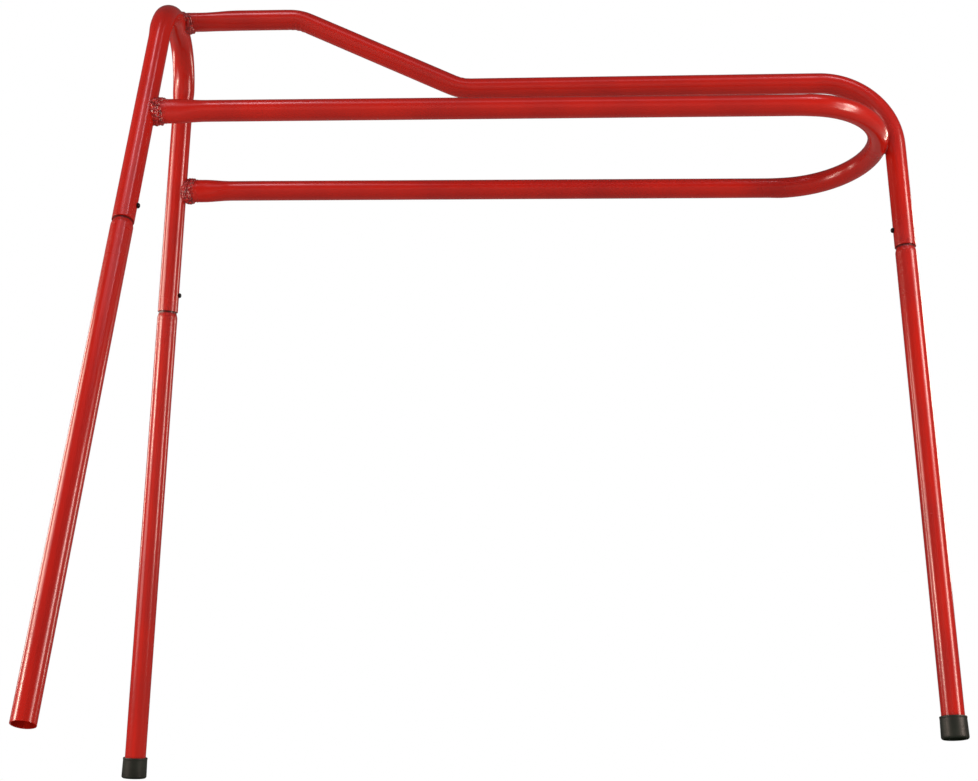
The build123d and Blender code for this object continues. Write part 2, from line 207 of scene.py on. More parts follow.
@dataclass
class Line:
    """Straight runs joined by tangent arcs, all in the plane whose unit normal is across."""

    corners: Sequence[Vector]
    radii: Sequence[float]
    across: Vector
    runs: list[Run] = field(default_factory=list)

    def __post_init__(self) -> None:
        """Works out the runs from the corners and the radii."""
        at = self.corners[0].copy()
        for before, corner, after, radius in zip(
            self.corners, self.corners[1:], self.corners[2:], self.radii
        ):
            heading, leaving = (corner - before).normalized(), (after - corner).normalized()
            turn = math.atan2(heading.cross(leaving).dot(self.across), heading.dot(leaving))
            tangent = radius * math.tan(abs(turn) / 2)
            first = corner - heading * tangent
            self.runs.append(Run(at, heading, (first - at).length, 0.0))
            if radius:
                bend = math.copysign(1 / radius, turn)
                self.runs.append(Run(first, heading, radius * abs(turn), bend))
            at = corner + leaving * tangent
        last = self.corners[-1] - at
        self.runs.append(Run(at, last.normalized(), last.length, 0.0))

    @property
    def length(self) -> float:
        """Length of the whole line."""
        return sum(run.length for run in self.runs)

    def at(self, distance: float) -> tuple[Vector, Vector, float]:
        """Where the line is at a distance from its start.

        Args:
            distance: the distance along the line.

        Returns:
            Its point, heading and bend there.
        """
        for run in self.runs:
            if distance <= run.length or run is self.runs[-1]:
                break
            distance -= run.length
        if not run.bend:
            return run.start + run.heading * distance, run.heading, 0.0
        side, turn = self.across.cross(run.heading), run.bend * distance
        point = run.start + (run.heading * math.sin(turn) + side * (1 - math.cos(turn))) / run.bend
        return point, run.heading * math.cos(turn) + side * math.sin(turn), run.bend

    def bends(self) -> list[tuple[float, float, float]]:
        """The line's arcs.

        Returns:
            Start, length and bend of each, the start by its distance along the line.
        """
        found, start = [], 0.0
        for run in self.runs:
            if run.bend:
                found.append((start, run.length, run.bend))
            start += run.length
        return found

    def stations(
        self, features: Sequence[float], fine: float, coarse: float, curve: float
    ) -> np.ndarray:
        """Distances at which the line is sampled, closer together near its features.

        Args:
            features: distances along the line of ends, holes and shoulders.
            fine: spacing at a feature.
            coarse: widest spacing on a straight.
            curve: widest spacing in an arc.

        Returns:
            The distances, from 0 to the line's length.
        """
        marks = [0.0]
        held, growth = 8.0, 0.1  # fine this far from a feature, and then wider by this share
        while marks[-1] < self.length:
            here = marks[-1]
            away = min((abs(here - mark) for mark in features), default=coarse)
            step = min(fine + growth * max(0.0, away - held), coarse)
            marks.append(here + (min(step, curve) if self.at(here + step / 2)[2] else step))
        return np.array(marks) * (self.length / marks[-1])


def ease(share: np.ndarray) -> np.ndarray:
    """Smooth step from 0 to 1."""
    share = np.clip(share, 0.0, 1.0)
    return share * share * (3 - 2 * share)


# ------------------------------------------------------------------ small helpers


def linear(colour: str) -> tuple[float, float, float, float]:
    """An sRGB hex colour as the linear RGBA that shaders take."""
    parts = [int(colour[i : i + 2], 16) / 255 for i in (1, 3, 5)]
    return (*[c / 12.92 if c <= 0.04045 else ((c + 0.055) / 1.055) ** 2.4 for c in parts], 1.0)


def add_node(
    tree: bpy.types.NodeTree, kind: str, feeds: dict | None = None, **settings
) -> bpy.types.Node:
    """Adds a node to a tree.

    Args:
        tree: the shader or geometry tree.
        kind: the node's type name.
        feeds: for each input's name or number, a value, a socket, or a node whose first output
            is taken.
        **settings: the node's own properties.

    Returns:
        The new node.
    """
    node = tree.nodes.new(kind)
    for name, value in settings.items():
        setattr(node, name, value)
    for key, value in (feeds or {}).items():
        target = node.inputs[key]
        if isinstance(value, bpy.types.Node):
            value = value.outputs[0]
        if isinstance(value, bpy.types.NodeSocket):
            tree.links.new(value, target)
        else:
            target.default_value = value
    return node


def open_tree(name: str, inputs: dict[str, str]) -> tuple[bpy.types.NodeTree, bpy.types.Node]:
    """Starts a geometry node tree with named inputs.

    Args:
        name: the tree's name.
        inputs: for each input's name, its socket type without "NodeSocket".

    Returns:
        The tree and its group input node.
    """
    tree = bpy.data.node_groups.new(name, "GeometryNodeTree")
    tree.interface.new_socket("Geometry", in_out="OUTPUT", socket_type="NodeSocketGeometry")
    for label, kind in {"Geometry": "Geometry", **inputs}.items():
        tree.interface.new_socket(label, in_out="INPUT", socket_type=f"NodeSocket{kind}")
    return tree, tree.nodes.new("NodeGroupInput")


def close_tree(
    tree: bpy.types.NodeTree, shape: bpy.types.Node, material: bpy.types.NodeSocket
) -> None:
    """Ends a geometry node tree in Realize Instances and Set Material.

    Args:
        tree: the tree.
        shape: the node that makes its geometry.
        material: the socket that gives its material.
    """
    smooth = add_node(tree, "GeometryNodeSetShadeSmooth", {0: shape})
    real = add_node(tree, "GeometryNodeRealizeInstances", {0: smooth})
    made = add_node(tree, "GeometryNodeSetMaterial", {"Geometry": real, "Material": material})
    tree.links.new(made.outputs[0], tree.nodes.new("NodeGroupOutput").inputs[0])


def settle(holder: bpy.types.Object) -> bpy.types.Mesh:
    """Turns an object with its modifiers into a plain mesh.

    Args:
        holder: the object; it is removed.

    Returns:
        The mesh.
    """
    graph = bpy.context.evaluated_depsgraph_get()
    made = bpy.data.meshes.new_from_object(holder.evaluated_get(graph))
    bpy.data.objects.remove(holder)
    return made


def grow(host: bpy.types.Mesh, tree: bpy.types.NodeTree, values: dict) -> bpy.types.Mesh:
    """Runs a geometry node tree on a mesh.

    Args:
        host: the mesh that the tree starts from; it is used up.
        tree: the tree.
        values: for each named input, its value.

    Returns:
        The result as a plain mesh.
    """
    holder = bpy.data.objects.new("host", host)
    bpy.context.scene.collection.objects.link(holder)
    modifier = holder.modifiers.new(tree.name, "NODES")
    modifier.node_group = tree
    for item in tree.interface.items_tree:
        if item.in_out == "INPUT" and item.name in values:
            modifier[item.identifier] = values[item.name]
    return settle(holder)


def wire(
    points: Sequence[Sequence[float]], closed: bool, **attributes: np.ndarray
) -> bpy.types.Mesh:
    """A mesh of points joined in a row, for a tree to start from.

    Args:
        points: the points.
        closed: whether the last joins the first.
        **attributes: a value for each point, as numbers or as vectors.

    Returns:
        The mesh.
    """
    count = len(points)
    mesh = bpy.data.meshes.new("wire")
    edges = [(i, (i + 1) % count) for i in range(count if closed else count - 1)]
    mesh.from_pydata([tuple(p) for p in points], edges, [])
    for name, values in attributes.items():
        values = np.asarray(values, np.float32)
        kind, slot = ("FLOAT_VECTOR", "vector") if values.ndim == 2 else ("FLOAT", "value")
        mesh.attributes.new(name, kind, "POINT").data.foreach_set(slot, values.ravel())
    return mesh


def finish_piece(
    name: str,
    mesh: bpy.types.Mesh,
    body: str,
    replaced: str,
    materials: Sequence[bpy.types.Material],
) -> bpy.types.Object:
    """Turns a mesh in millimetres into a finished piece that rides on its body.

    Args:
        name: the piece's name.
        mesh: its mesh, in millimetres.
        body: the body that it moves with.
        replaced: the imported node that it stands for.
        materials: its materials, by slot number.

    Returns:
        The object.
    """
    mesh.transform(Matrix.Scale(MM, 4))
    mesh.name = name
    mesh.materials.clear()
    for material in materials:
        mesh.materials.append(material)
    piece = bpy.data.objects.new(name, mesh)
    bpy.context.scene.collection.objects.link(piece)
    if body:
        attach(piece, body)
    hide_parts(replaced)
    log.info("%s: %d faces", name, len(mesh.polygons))
    return piece


def thicken(mesh: bpy.types.Mesh, wall: float, edge: float, offset: float = -1.0) -> bpy.types.Mesh:
    """Gives a skin its wall and rounds the wall's edges.

    Args:
        mesh: the skin, with its faces outwards; it is used up.
        wall: thickness of the wall.
        edge: width of the rounding.
        offset: -1 to put the wall inside the skin, 0 to centre it.

    Returns:
        The closed mesh. Its inside has material number 1.
    """
    holder = bpy.data.objects.new("skin", mesh)
    bpy.context.scene.collection.objects.link(holder)
    mesh.materials.clear()
    for _ in range(2):
        mesh.materials.append(None)
    solid = holder.modifiers.new("wall", "SOLIDIFY")
    solid.thickness, solid.offset = wall, offset
    solid.material_offset = 1
    bevel = holder.modifiers.new("edge", "BEVEL")
    bevel.width, bevel.segments = edge, 3
    bevel.limit_method, bevel.angle_limit = "ANGLE", math.radians(EDGE_ANGLE)
    made = settle(holder)
    made.shade_smooth()
    return made


def revolve(line: Line, seat: Seat, step: float, sides: int) -> bpy.types.Mesh:
    """Turns an outline about a seat's axis.

    Args:
        line: the outline in the plane Y = 0, X being the radius and Z the height, with both ends
            on the axis.
        seat: gives the axis, as origin and up.
        step: spacing along the outline.
        sides: facets round the axis.

    Returns:
        The closed mesh, smooth.
    """
    rings, bm = [], bmesh.new()
    turns = [2 * math.pi * i / sides for i in range(sides)]
    for mark in run_marks(line, step):
        point = line.at(mark)[0]
        if point.x < 1e-4:
            rings.append([bm.verts.new(seat.point(0, 0, point.z))])
            continue
        spots = [(point.x * math.cos(a), point.x * math.sin(a), point.z) for a in turns]
        rings.append([bm.verts.new(seat.point(*spot)) for spot in spots])
    for lower, upper in zip(rings, rings[1:]):
        for i in range(sides):
            j = (i + 1) % sides
            below, above = ([ring[k % len(ring)] for k in (i, j)] for ring in (lower, upper))
            bm.faces.new(list(dict.fromkeys([*below, *reversed(above)])))
    bmesh.ops.recalc_face_normals(bm, faces=bm.faces)
    mesh = bpy.data.meshes.new("revolved")
    bm.to_mesh(mesh)
    bm.free()
    mesh.shade_smooth()
    return mesh


def run_marks(line: Line, step: float) -> np.ndarray:
    """Distances along an outline that keep each run's ends.

    Args:
        line: the outline.
        step: widest spacing.

    Returns:
        The distances, in order.
    """
    marks, start = [], 0.0
    for run in line.runs:
        if run.length > 1e-6:
            count = max(2, math.ceil(run.length / step) + 1)
            marks.append(np.linspace(start, start + run.length, count))
        start += run.length
    return np.unique(np.round(np.concatenate(marks), 6))


# ------------------------------------------------------------------ trees that follow a line


def tube_tree() -> bpy.types.NodeTree:
    """A tree that grows a tube's outer skin along a line, with the section given at each point.

    Returns:
        The tree. Its host's points hold centre, ahead, half_across, half_level, turn, inner,
        outer, quiet and grain. Others pass through to the skin: along, and the painted shade that
        stands for the shadow in a joint's groove.
    """
    tree, given = open_tree(
        "drawn_tube",
        {
            "Across": "Vector",
            "Sides": "Int",
            "Waviness": "Float",
            "Wave Length": "Float",
            "Grit": "Float",
            "Seed": "Float",
            "Material": "Material",
        },
    )
    vector, maths = "ShaderNodeVectorMath", "ShaderNodeMath"
    places, sizes = ("centre", "ahead", "rim"), ("half_across", "half_level")
    held = {
        name: add_node(
            tree,
            "GeometryNodeInputNamedAttribute",
            {0: name},
            data_type="FLOAT_VECTOR" if name in places else "FLOAT",
        ).outputs[0]
        for name in (*places, *sizes, "turn", "inner", "outer", "quiet", "grain")
    }
    path = add_node(tree, "GeometryNodeMeshToCurve", {0: given.outputs["Geometry"]})
    circle = add_node(
        tree,
        "GeometryNodeCurvePrimitiveCircle",
        {"Resolution": given.outputs["Sides"], "Radius": 1.0},
    )
    rim = add_node(
        tree,
        "GeometryNodeStoreNamedAttribute",
        {"Geometry": circle, "Name": "rim", "Value": add_node(tree, "GeometryNodeInputPosition")},
        data_type="FLOAT_VECTOR",
        domain="POINT",
    )
    skin = add_node(tree, "GeometryNodeCurveToMesh", {"Curve": path, "Profile Curve": rim})
    across = given.outputs["Across"]
    level = add_node(tree, vector, {0: across, 1: held["ahead"]}, operation="CROSS_PRODUCT")
    corner = add_node(tree, "ShaderNodeSeparateXYZ", {0: held["rim"]})
    radial = []
    for axis, number, size in zip((across, level), (1, 0), sizes):
        far = {0: corner.outputs[number], 1: held[size]}
        far = add_node(tree, maths, far, operation="MULTIPLY")
        radial.append(add_node(tree, vector, {0: axis, "Scale": far}, operation="SCALE"))
    radial = add_node(tree, vector, {0: radial[0], 1: radial[1]}, operation="ADD")
    place = add_node(tree, vector, {0: held["centre"], 1: radial}, operation="ADD")
    outward = add_node(tree, vector, {0: radial}, operation="NORMALIZE")

    # the concave side of a bend wrinkles and its convex side flattens
    lean = add_node(tree, vector, {0: outward, 1: level}, operation="DOT_PRODUCT")
    lean = add_node(tree, maths, {0: lean.outputs["Value"], 1: held["turn"]}, operation="MULTIPLY")
    concave = add_node(tree, maths, {0: lean, 1: 0.0}, operation="MAXIMUM")
    concave = add_node(tree, maths, {0: concave, 1: 3.0}, operation="POWER")
    convex = add_node(tree, maths, {0: lean, 1: 0.0}, operation="MINIMUM")
    convex = add_node(tree, maths, {0: convex, 1: convex}, operation="MULTIPLY")
    crease = add_node(tree, maths, {0: concave, 1: held["inner"]}, operation="MULTIPLY")
    flat = add_node(tree, maths, {0: convex, 1: held["outer"]}, operation="MULTIPLY")
    shift = add_node(tree, maths, {0: crease, 1: flat}, operation="ADD")

    # cold-drawn tube is never quite straight in a reflection, and its coat is gritty in places
    wave_scale = {0: 1.0, 1: given.outputs["Wave Length"]}
    wave_scale = add_node(tree, maths, wave_scale, operation="DIVIDE")
    wave = add_node(
        tree,
        "ShaderNodeTexNoise",
        {"Vector": place, "W": given.outputs["Seed"], "Scale": wave_scale, "Detail": 1.0},
        noise_dimensions="4D",
    )
    grit = {"Vector": place, "Scale": 1 / GRIT_MM, "Detail": 2.0}
    grit = add_node(tree, "ShaderNodeTexNoise", grit)
    for noise, factors in (
        (wave, (given.outputs["Waviness"], held["quiet"])),
        (grit, (given.outputs["Grit"], held["grain"], held["quiet"])),
    ):
        rise = add_node(tree, maths, {0: noise, 1: 0.5}, operation="SUBTRACT")
        for factor in factors:
            rise = add_node(tree, maths, {0: rise, 1: factor}, operation="MULTIPLY")
        shift = add_node(tree, maths, {0: shift, 1: rise}, operation="ADD")
    offset = add_node(tree, vector, {0: outward, "Scale": shift}, operation="SCALE")
    moved = {"Geometry": skin, "Position": place, "Offset": offset}
    shaped = add_node(tree, "GeometryNodeSetPosition", moved)
    close_tree(tree, shaped, given.outputs["Material"])
    return tree


def weld_tree() -> bpy.types.NodeTree:
    """A tree that lays a rippled weld bead along closed seams and throws spatter round it.

    Returns:
        The tree. Its host's points hold swell, the bead's size there as a share.
    """
    tree, given = open_tree(
        "weld_bead",
        {
            "Bead Radius": "Float",
            "Ripple Pitch": "Float",
            "Ripple Depth": "Float",
            "Lump Size": "Float",
            "Lump Depth": "Float",
            "Spatter Count": "Int",
            "Spatter Radius": "Float",
            "Spatter Reach": "Float",
            "Run Direction": "Vector",
            "Seed": "Int",
            "Material": "Material",
        },
    )
    vector, maths = "ShaderNodeVectorMath", "ShaderNodeMath"
    value = {name: given.outputs[name] for name in given.outputs.keys() if name}
    seam = add_node(tree, "GeometryNodeMeshToCurve", {0: value["Geometry"]})
    fine = {"Curve": seam, "Length": BEAD_STEP}
    marked = add_node(tree, "GeometryNodeResampleCurve", fine, mode="LENGTH")
    spot = add_node(tree, "GeometryNodeInputPosition").outputs[0]
    length = add_node(tree, "GeometryNodeSplineParameter").outputs["Length"]
    for name, socket, kind in (("centre", spot, "FLOAT_VECTOR"), ("along", length, "FLOAT")):
        marked = add_node(
            tree,
            "GeometryNodeStoreNamedAttribute",
            {"Geometry": marked, "Name": name, "Value": socket},
            data_type=kind,
            domain="POINT",
        )
    centre, along, swell = (
        add_node(tree, "GeometryNodeInputNamedAttribute", {0: name}, data_type=kind).outputs[0]
        for name, kind in (("centre", "FLOAT_VECTOR"), ("along", "FLOAT"), ("swell", "FLOAT"))
    )
    ring = {"Resolution": BEAD_SIDES, "Radius": 1.0}
    ring = add_node(tree, "GeometryNodeCurvePrimitiveCircle", ring)
    bead = add_node(tree, "GeometryNodeCurveToMesh", {"Curve": marked, "Profile Curve": ring})
    radial = add_node(tree, vector, {0: spot, 1: centre}, operation="SUBTRACT")

    # each ripple is a puddle that froze: round at its front and steep behind
    beat = add_node(tree, maths, {0: along, 1: value["Ripple Pitch"]}, operation="DIVIDE")
    beat = add_node(tree, maths, {0: beat}, operation="FRACT")
    beat = add_node(tree, maths, {0: beat, 1: 0.5}, operation="POWER")
    ripple = add_node(tree, maths, {0: beat, 1: value["Ripple Depth"]}, operation="MULTIPLY")
    lump_scale = add_node(tree, maths, {0: 1.0, 1: value["Lump Size"]}, operation="DIVIDE")
    lump = add_node(
        tree,
        "ShaderNodeTexNoise",
        {"Vector": spot, "W": value["Seed"], "Scale": lump_scale, "Detail": 2.0},
        noise_dimensions="4D",
    )
    lump = add_node(tree, maths, {0: lump.outputs[0], 1: 0.5}, operation="SUBTRACT")
    lump = add_node(tree, maths, {0: lump, 1: value["Lump Depth"]}, operation="MULTIPLY")
    size = add_node(tree, maths, {0: swell, 1: value["Bead Radius"]}, operation="MULTIPLY")
    size = add_node(tree, maths, {0: size, 1: ripple}, operation="ADD")
    size = add_node(tree, maths, {0: size, 1: lump}, operation="ADD")
    reach = add_node(tree, vector, {0: radial, "Scale": size}, operation="SCALE")
    place = add_node(tree, vector, {0: centre, 1: reach}, operation="ADD")
    bead = add_node(tree, "GeometryNodeSetPosition", {"Geometry": bead, "Position": place})

    # drops thrown along the tube stay on its surface and thin out with distance
    points = {"Curve": seam, "Count": value["Spatter Count"]}
    points = add_node(tree, "GeometryNodeCurveToPoints", points, mode="COUNT")
    index = add_node(tree, "GeometryNodeInputIndex")
    chance = "FunctionNodeRandomValue"
    far = add_node(tree, chance, {"Seed": value["Seed"], "ID": index}, data_type="FLOAT")
    far = add_node(tree, maths, {0: far.outputs[1], 1: 2.0}, operation="POWER")
    far = add_node(tree, maths, {0: far, 1: value["Spatter Reach"]}, operation="MULTIPLY")
    throw = add_node(tree, vector, {0: value["Run Direction"], "Scale": far}, operation="SCALE")
    thrown = add_node(tree, "GeometryNodeSetPosition", {"Geometry": points, "Offset": throw})
    ball = {"Radius": value["Spatter Radius"], "Subdivisions": 2}
    ball = add_node(tree, "GeometryNodeMeshIcoSphere", ball)
    pick = add_node(tree, chance, {"Seed": 7, "ID": index}, data_type="FLOAT")
    pick = add_node(tree, "ShaderNodeMapRange", {"Value": pick.outputs[1], 3: 0.35, 4: 1.0})
    drops = {"Points": thrown, "Instance": ball, "Scale": pick}
    drops = add_node(tree, "GeometryNodeInstanceOnPoints", drops)
    whole = add_node(tree, "GeometryNodeJoinGeometry")
    for part in (drops, bead):
        tree.links.new(part.outputs[0], whole.inputs[0])
    close_tree(tree, whole, value["Material"])
    return tree


# ------------------------------------------------------------------ tubes


@dataclass(frozen=True)
class Press:
    """A tube end squashed in a press, in millimetres from the end."""

    flat: float
    round_at: float
    stretch: float  # taken on across the line's plane
    squash: float  # lost in the plane

    def share(self, distance: np.ndarray) -> np.ndarray:
        """How squashed the tube is, from 1 at the end to 0 where it is round."""
        return 1 - ease((distance - self.flat) / (self.round_at - self.flat))


@dataclass(frozen=True)
class Saddle:
    """The round tube that a tube's end is cut to fit."""

    axis_point: Vector
    axis: Vector
    radius: float

    def cut(self, feet: np.ndarray, inward: np.ndarray) -> np.ndarray:
        """How far in from its square end a tube is cut, so that it fits.

        Args:
            feet: points of the tube's wall on the plane of its square end.
            inward: unit vector along the tube, away from that end.

        Returns:
            The distances, 0 where the tube's wall passes over the round one.
        """
        axis = np.array(self.axis)
        side = np.cross(axis, inward)
        side /= np.linalg.norm(side)
        ahead = np.cross(side, axis)
        away = feet - np.array(self.axis_point)
        rise = np.sqrt(np.maximum(self.radius**2 - (away @ side) ** 2, 0))
        return np.maximum((rise - away @ ahead) / (inward @ ahead), 0)


@dataclass
class Tube:
    """One length of tube and what was done to it, in millimetres."""

    name: str
    line: Line
    stock: Stock
    presses: dict[int, Press] = field(default_factory=dict)  # 0 at the start, 1 at the end
    saddles: dict[int, Saddle] = field(default_factory=dict)
    grains: Sequence[tuple[float, float, float]] = ()  # distance, reach and strength
    wrinkles: Sequence[tuple[float, float, float, float]] = ()  # distance, reach, pitch, depth
    neck: Callable[[np.ndarray], np.ndarray] | None = None  # radius by distance
    holes: Sequence[tuple[Seat, float, float]] = ()  # seat, rise up the tube and radius
    grooves: Sequence[float] = ()  # where the shade under a socket's rim is painted
    quiet: Sequence[tuple[float, float]] = ()  # stretches that fit another piece
    flattening: float = 0.35  # lost at the convex side of a bend of flat_r
    flat_r: float = 70.0
    bulge: float = 1.3  # gained across a bend, as a share of the flattening
    faint_r: float = 150.0  # a bend gentler than this keeps the section
    bend_fade: float = 10.0  # half the length over which a bend's section sets in
    groove_half: float = 1.8
    quiet_fade: float = 15.0
    fit_reach: float = 24.0  # length that is drawn back to fit another tube
    waviness: float = 0.10
    wave_length: float = 45.0
    grit: float = 1.4
    edge: float = 0.4

    def sections(self, marks: np.ndarray) -> dict[str, np.ndarray]:
        """The section and the surface at each station.

        Args:
            marks: distances along the tube.

        Returns:
            Arrays by attribute name.
        """
        total = self.line.length
        radius = self.neck(marks) if self.neck else np.full(len(marks), self.stock.radius)
        across, level = radius.copy(), radius.copy()
        for end, press in self.presses.items():
            share = press.share(total - marks if end else marks)
            across += share * press.stretch / 2
            level -= share * press.squash / 2
        turn, inner, outer = (np.zeros(len(marks)) for _ in range(3))
        for start, length, bend in self.line.bends():
            if abs(bend) < 1 / self.faint_r:
                continue
            fade = self.bend_fade
            share = ease((marks - start + fade) / (2 * fade))
            share = share * ease((start + length + fade - marks) / (2 * fade))
            turn[share > 0] = math.copysign(1, bend)
            outer -= share * self.flattening * self.flat_r * abs(bend)
            across += self.bulge * share * self.flattening
        for place, reach, pitch, depth in self.wrinkles:
            share = np.exp(-(((marks - place) / reach) ** 2))
            inner += depth * share * (np.cos(2 * math.pi * (marks - place) / pitch) - 0.4)
        grain = np.zeros(len(marks))
        for place, reach, strength in self.grains:
            grain = np.maximum(grain, strength * np.exp(-(((marks - place) / reach) ** 2)))
        # painted shade: a dark band round the groove under a socket's rim, standing in for its
        # shadow
        groove_shade = np.zeros(len(marks))
        for place in self.grooves:
            groove_shade = np.maximum(groove_shade, np.exp(-(((marks - place) / self.groove_half) ** 2)))
        quiet = np.ones(len(marks))
        for first, last in self.quiet:
            quiet *= np.clip(np.maximum(first - marks, marks - last) / self.quiet_fade, 0, 1)
        places = [self.line.at(mark) for mark in marks]
        return {
            "centre": np.array([p[0] for p in places]),
            "ahead": np.array([p[1] for p in places]),
            "half_across": across,
            "half_level": level,
            "turn": turn,
            "inner": inner,
            "outer": outer,
            "quiet": quiet,
            "grain": grain,
            "groove_shade": groove_shade,
            "along": marks,
        }

    def skin(self, tree: bpy.types.NodeTree, seed: float) -> bpy.types.Mesh:
        """The outer skin, grown along the line and facing outwards.

        Args:
            tree: the tree that grows a tube.
            seed: sets this tube's own unevenness.

        Returns:
            The skin's mesh.
        """
        features = [0.0, self.line.length, *self.grooves]
        features += [mark[0] for mark in (*self.grains, *self.wrinkles)]
        marks = self.line.stations(features, fine=0.9, coarse=6.0, curve=2.2)
        values = self.sections(marks)
        host = wire(values["centre"], False, **values)
        mesh = grow(
            host,
            tree,
            {
                "Across": self.line.across,
                "Sides": self.stock.sides,
                "Waviness": self.waviness,
                "Wave Length": self.wave_length,
                "Grit": self.grit,
                "Seed": seed,
            },
        )
        centre = np.zeros(len(mesh.vertices) * 3)
        mesh.attributes["centre"].data.foreach_get("vector", centre)
        face = mesh.polygons[len(mesh.polygons) // 2]
        middle = Vector(centre.reshape(-1, 3)[face.vertices[0]])
        if face.normal.dot(face.center - middle) < 0:
            mesh.flip_normals()
        return mesh

    def fit_end(self, mesh: bpy.types.Mesh, end: int) -> None:
        """Draws one end of the skin back to the tube that it meets.

        Args:
            mesh: the skin.
            end: 0 for the start, 1 for the end.
        """
        saddle, reach = self.saddles[end], self.fit_reach
        total = self.line.length
        start, heading, _ = self.line.at(total if end else 0.0)
        inward = np.array(-heading if end else heading)
        count = len(mesh.vertices)
        place, along = np.zeros(count * 3), np.zeros(count)
        mesh.vertices.foreach_get("co", place)
        mesh.attributes["along"].data.foreach_get("value", along)
        place, depth = place.reshape(-1, 3), (total - along if end else along)
        near = depth < reach
        foot = place[near] - depth[near][:, None] * inward
        cut = saddle.cut(foot, inward)
        place[near] = foot + (cut + (reach - cut) * depth[near] / reach)[:, None] * inward
        mesh.vertices.foreach_set("co", place.ravel())

    def pierce(self, mesh: bpy.types.Mesh) -> None:
        """Cuts the buttons' holes into the skin.

        Args:
            mesh: the skin.
        """
        fine, eased = 2.0, 2.4  # radii within which faces are split, and points set on the round
        nominal = self.stock.radius
        if self.neck:
            nominal = self.neck(np.array([self.line.length]))[0]
        bm = bmesh.new()
        bm.from_mesh(mesh)
        for seat, rise, radius in self.holes:

            def spot(point: Vector) -> tuple[float, float, float]:
                """Distances out, sideways and up from the hole's centre."""
                away = point - seat.origin
                return away.dot(seat.out), away.dot(seat.side), away.dot(seat.up) - rise

            def off(point: Vector) -> float:
                """Distance from the hole's axis, or far off behind the tube."""
                out, side, up = spot(point)
                return math.hypot(side, up) if out > 0 else math.inf

            area = [face for face in bm.faces if off(face.calc_center_median()) < fine * radius]
            edges = {edge for face in area for edge in face.edges}
            bmesh.ops.subdivide_edges(bm, edges=list(edges), cuts=1, use_grid_fill=True)
            inside = [face for face in bm.faces if off(face.calc_center_median()) < radius]
            bmesh.ops.delete(bm, geom=inside, context="FACES")
            for vert in bm.verts:
                distance = off(vert.co)
                if distance > eased * radius:
                    continue
                _, side, up = spot(vert.co)
                if vert.is_boundary:
                    side, up = side * radius / distance, up * radius / distance
                vert.co = seat.point(math.sqrt(nominal**2 - side**2), side, rise + up)
        bm.to_mesh(mesh)
        bm.free()

    def build(self, tree: bpy.types.NodeTree, seed: float) -> bpy.types.Mesh:
        """The whole tube: skin, cut ends, holes and wall.

        Args:
            tree: the tree that grows a tube.
            seed: sets this tube's own unevenness.

        Returns:
            The closed mesh, in millimetres.
        """
        mesh = self.skin(tree, seed)
        for end in self.saddles:
            self.fit_end(mesh, end)
        if self.holes:
            self.pierce(mesh)
        return thicken(mesh, self.stock.wall, self.edge)


# ------------------------------------------------------------------ finishes


def open_material(name: str) -> tuple[bpy.types.NodeTree, bpy.types.Node]:
    """Starts a material.

    Args:
        name: the material's name.

    Returns:
        Its tree and its Principled shader.
    """
    material = bpy.data.materials.new(name)
    material.use_nodes = True
    tree = material.node_tree
    return tree, next(node for node in tree.nodes if node.type == "BSDF_PRINCIPLED")


def millimetres(tree: bpy.types.NodeTree) -> bpy.types.Node:
    """Object coordinates in millimetres, so that a noise scale is one over a real size."""
    place = add_node(tree, "ShaderNodeTexCoord").outputs["Object"]
    return add_node(tree, "ShaderNodeVectorMath", {0: place, "Scale": 1 / MM}, operation="SCALE")


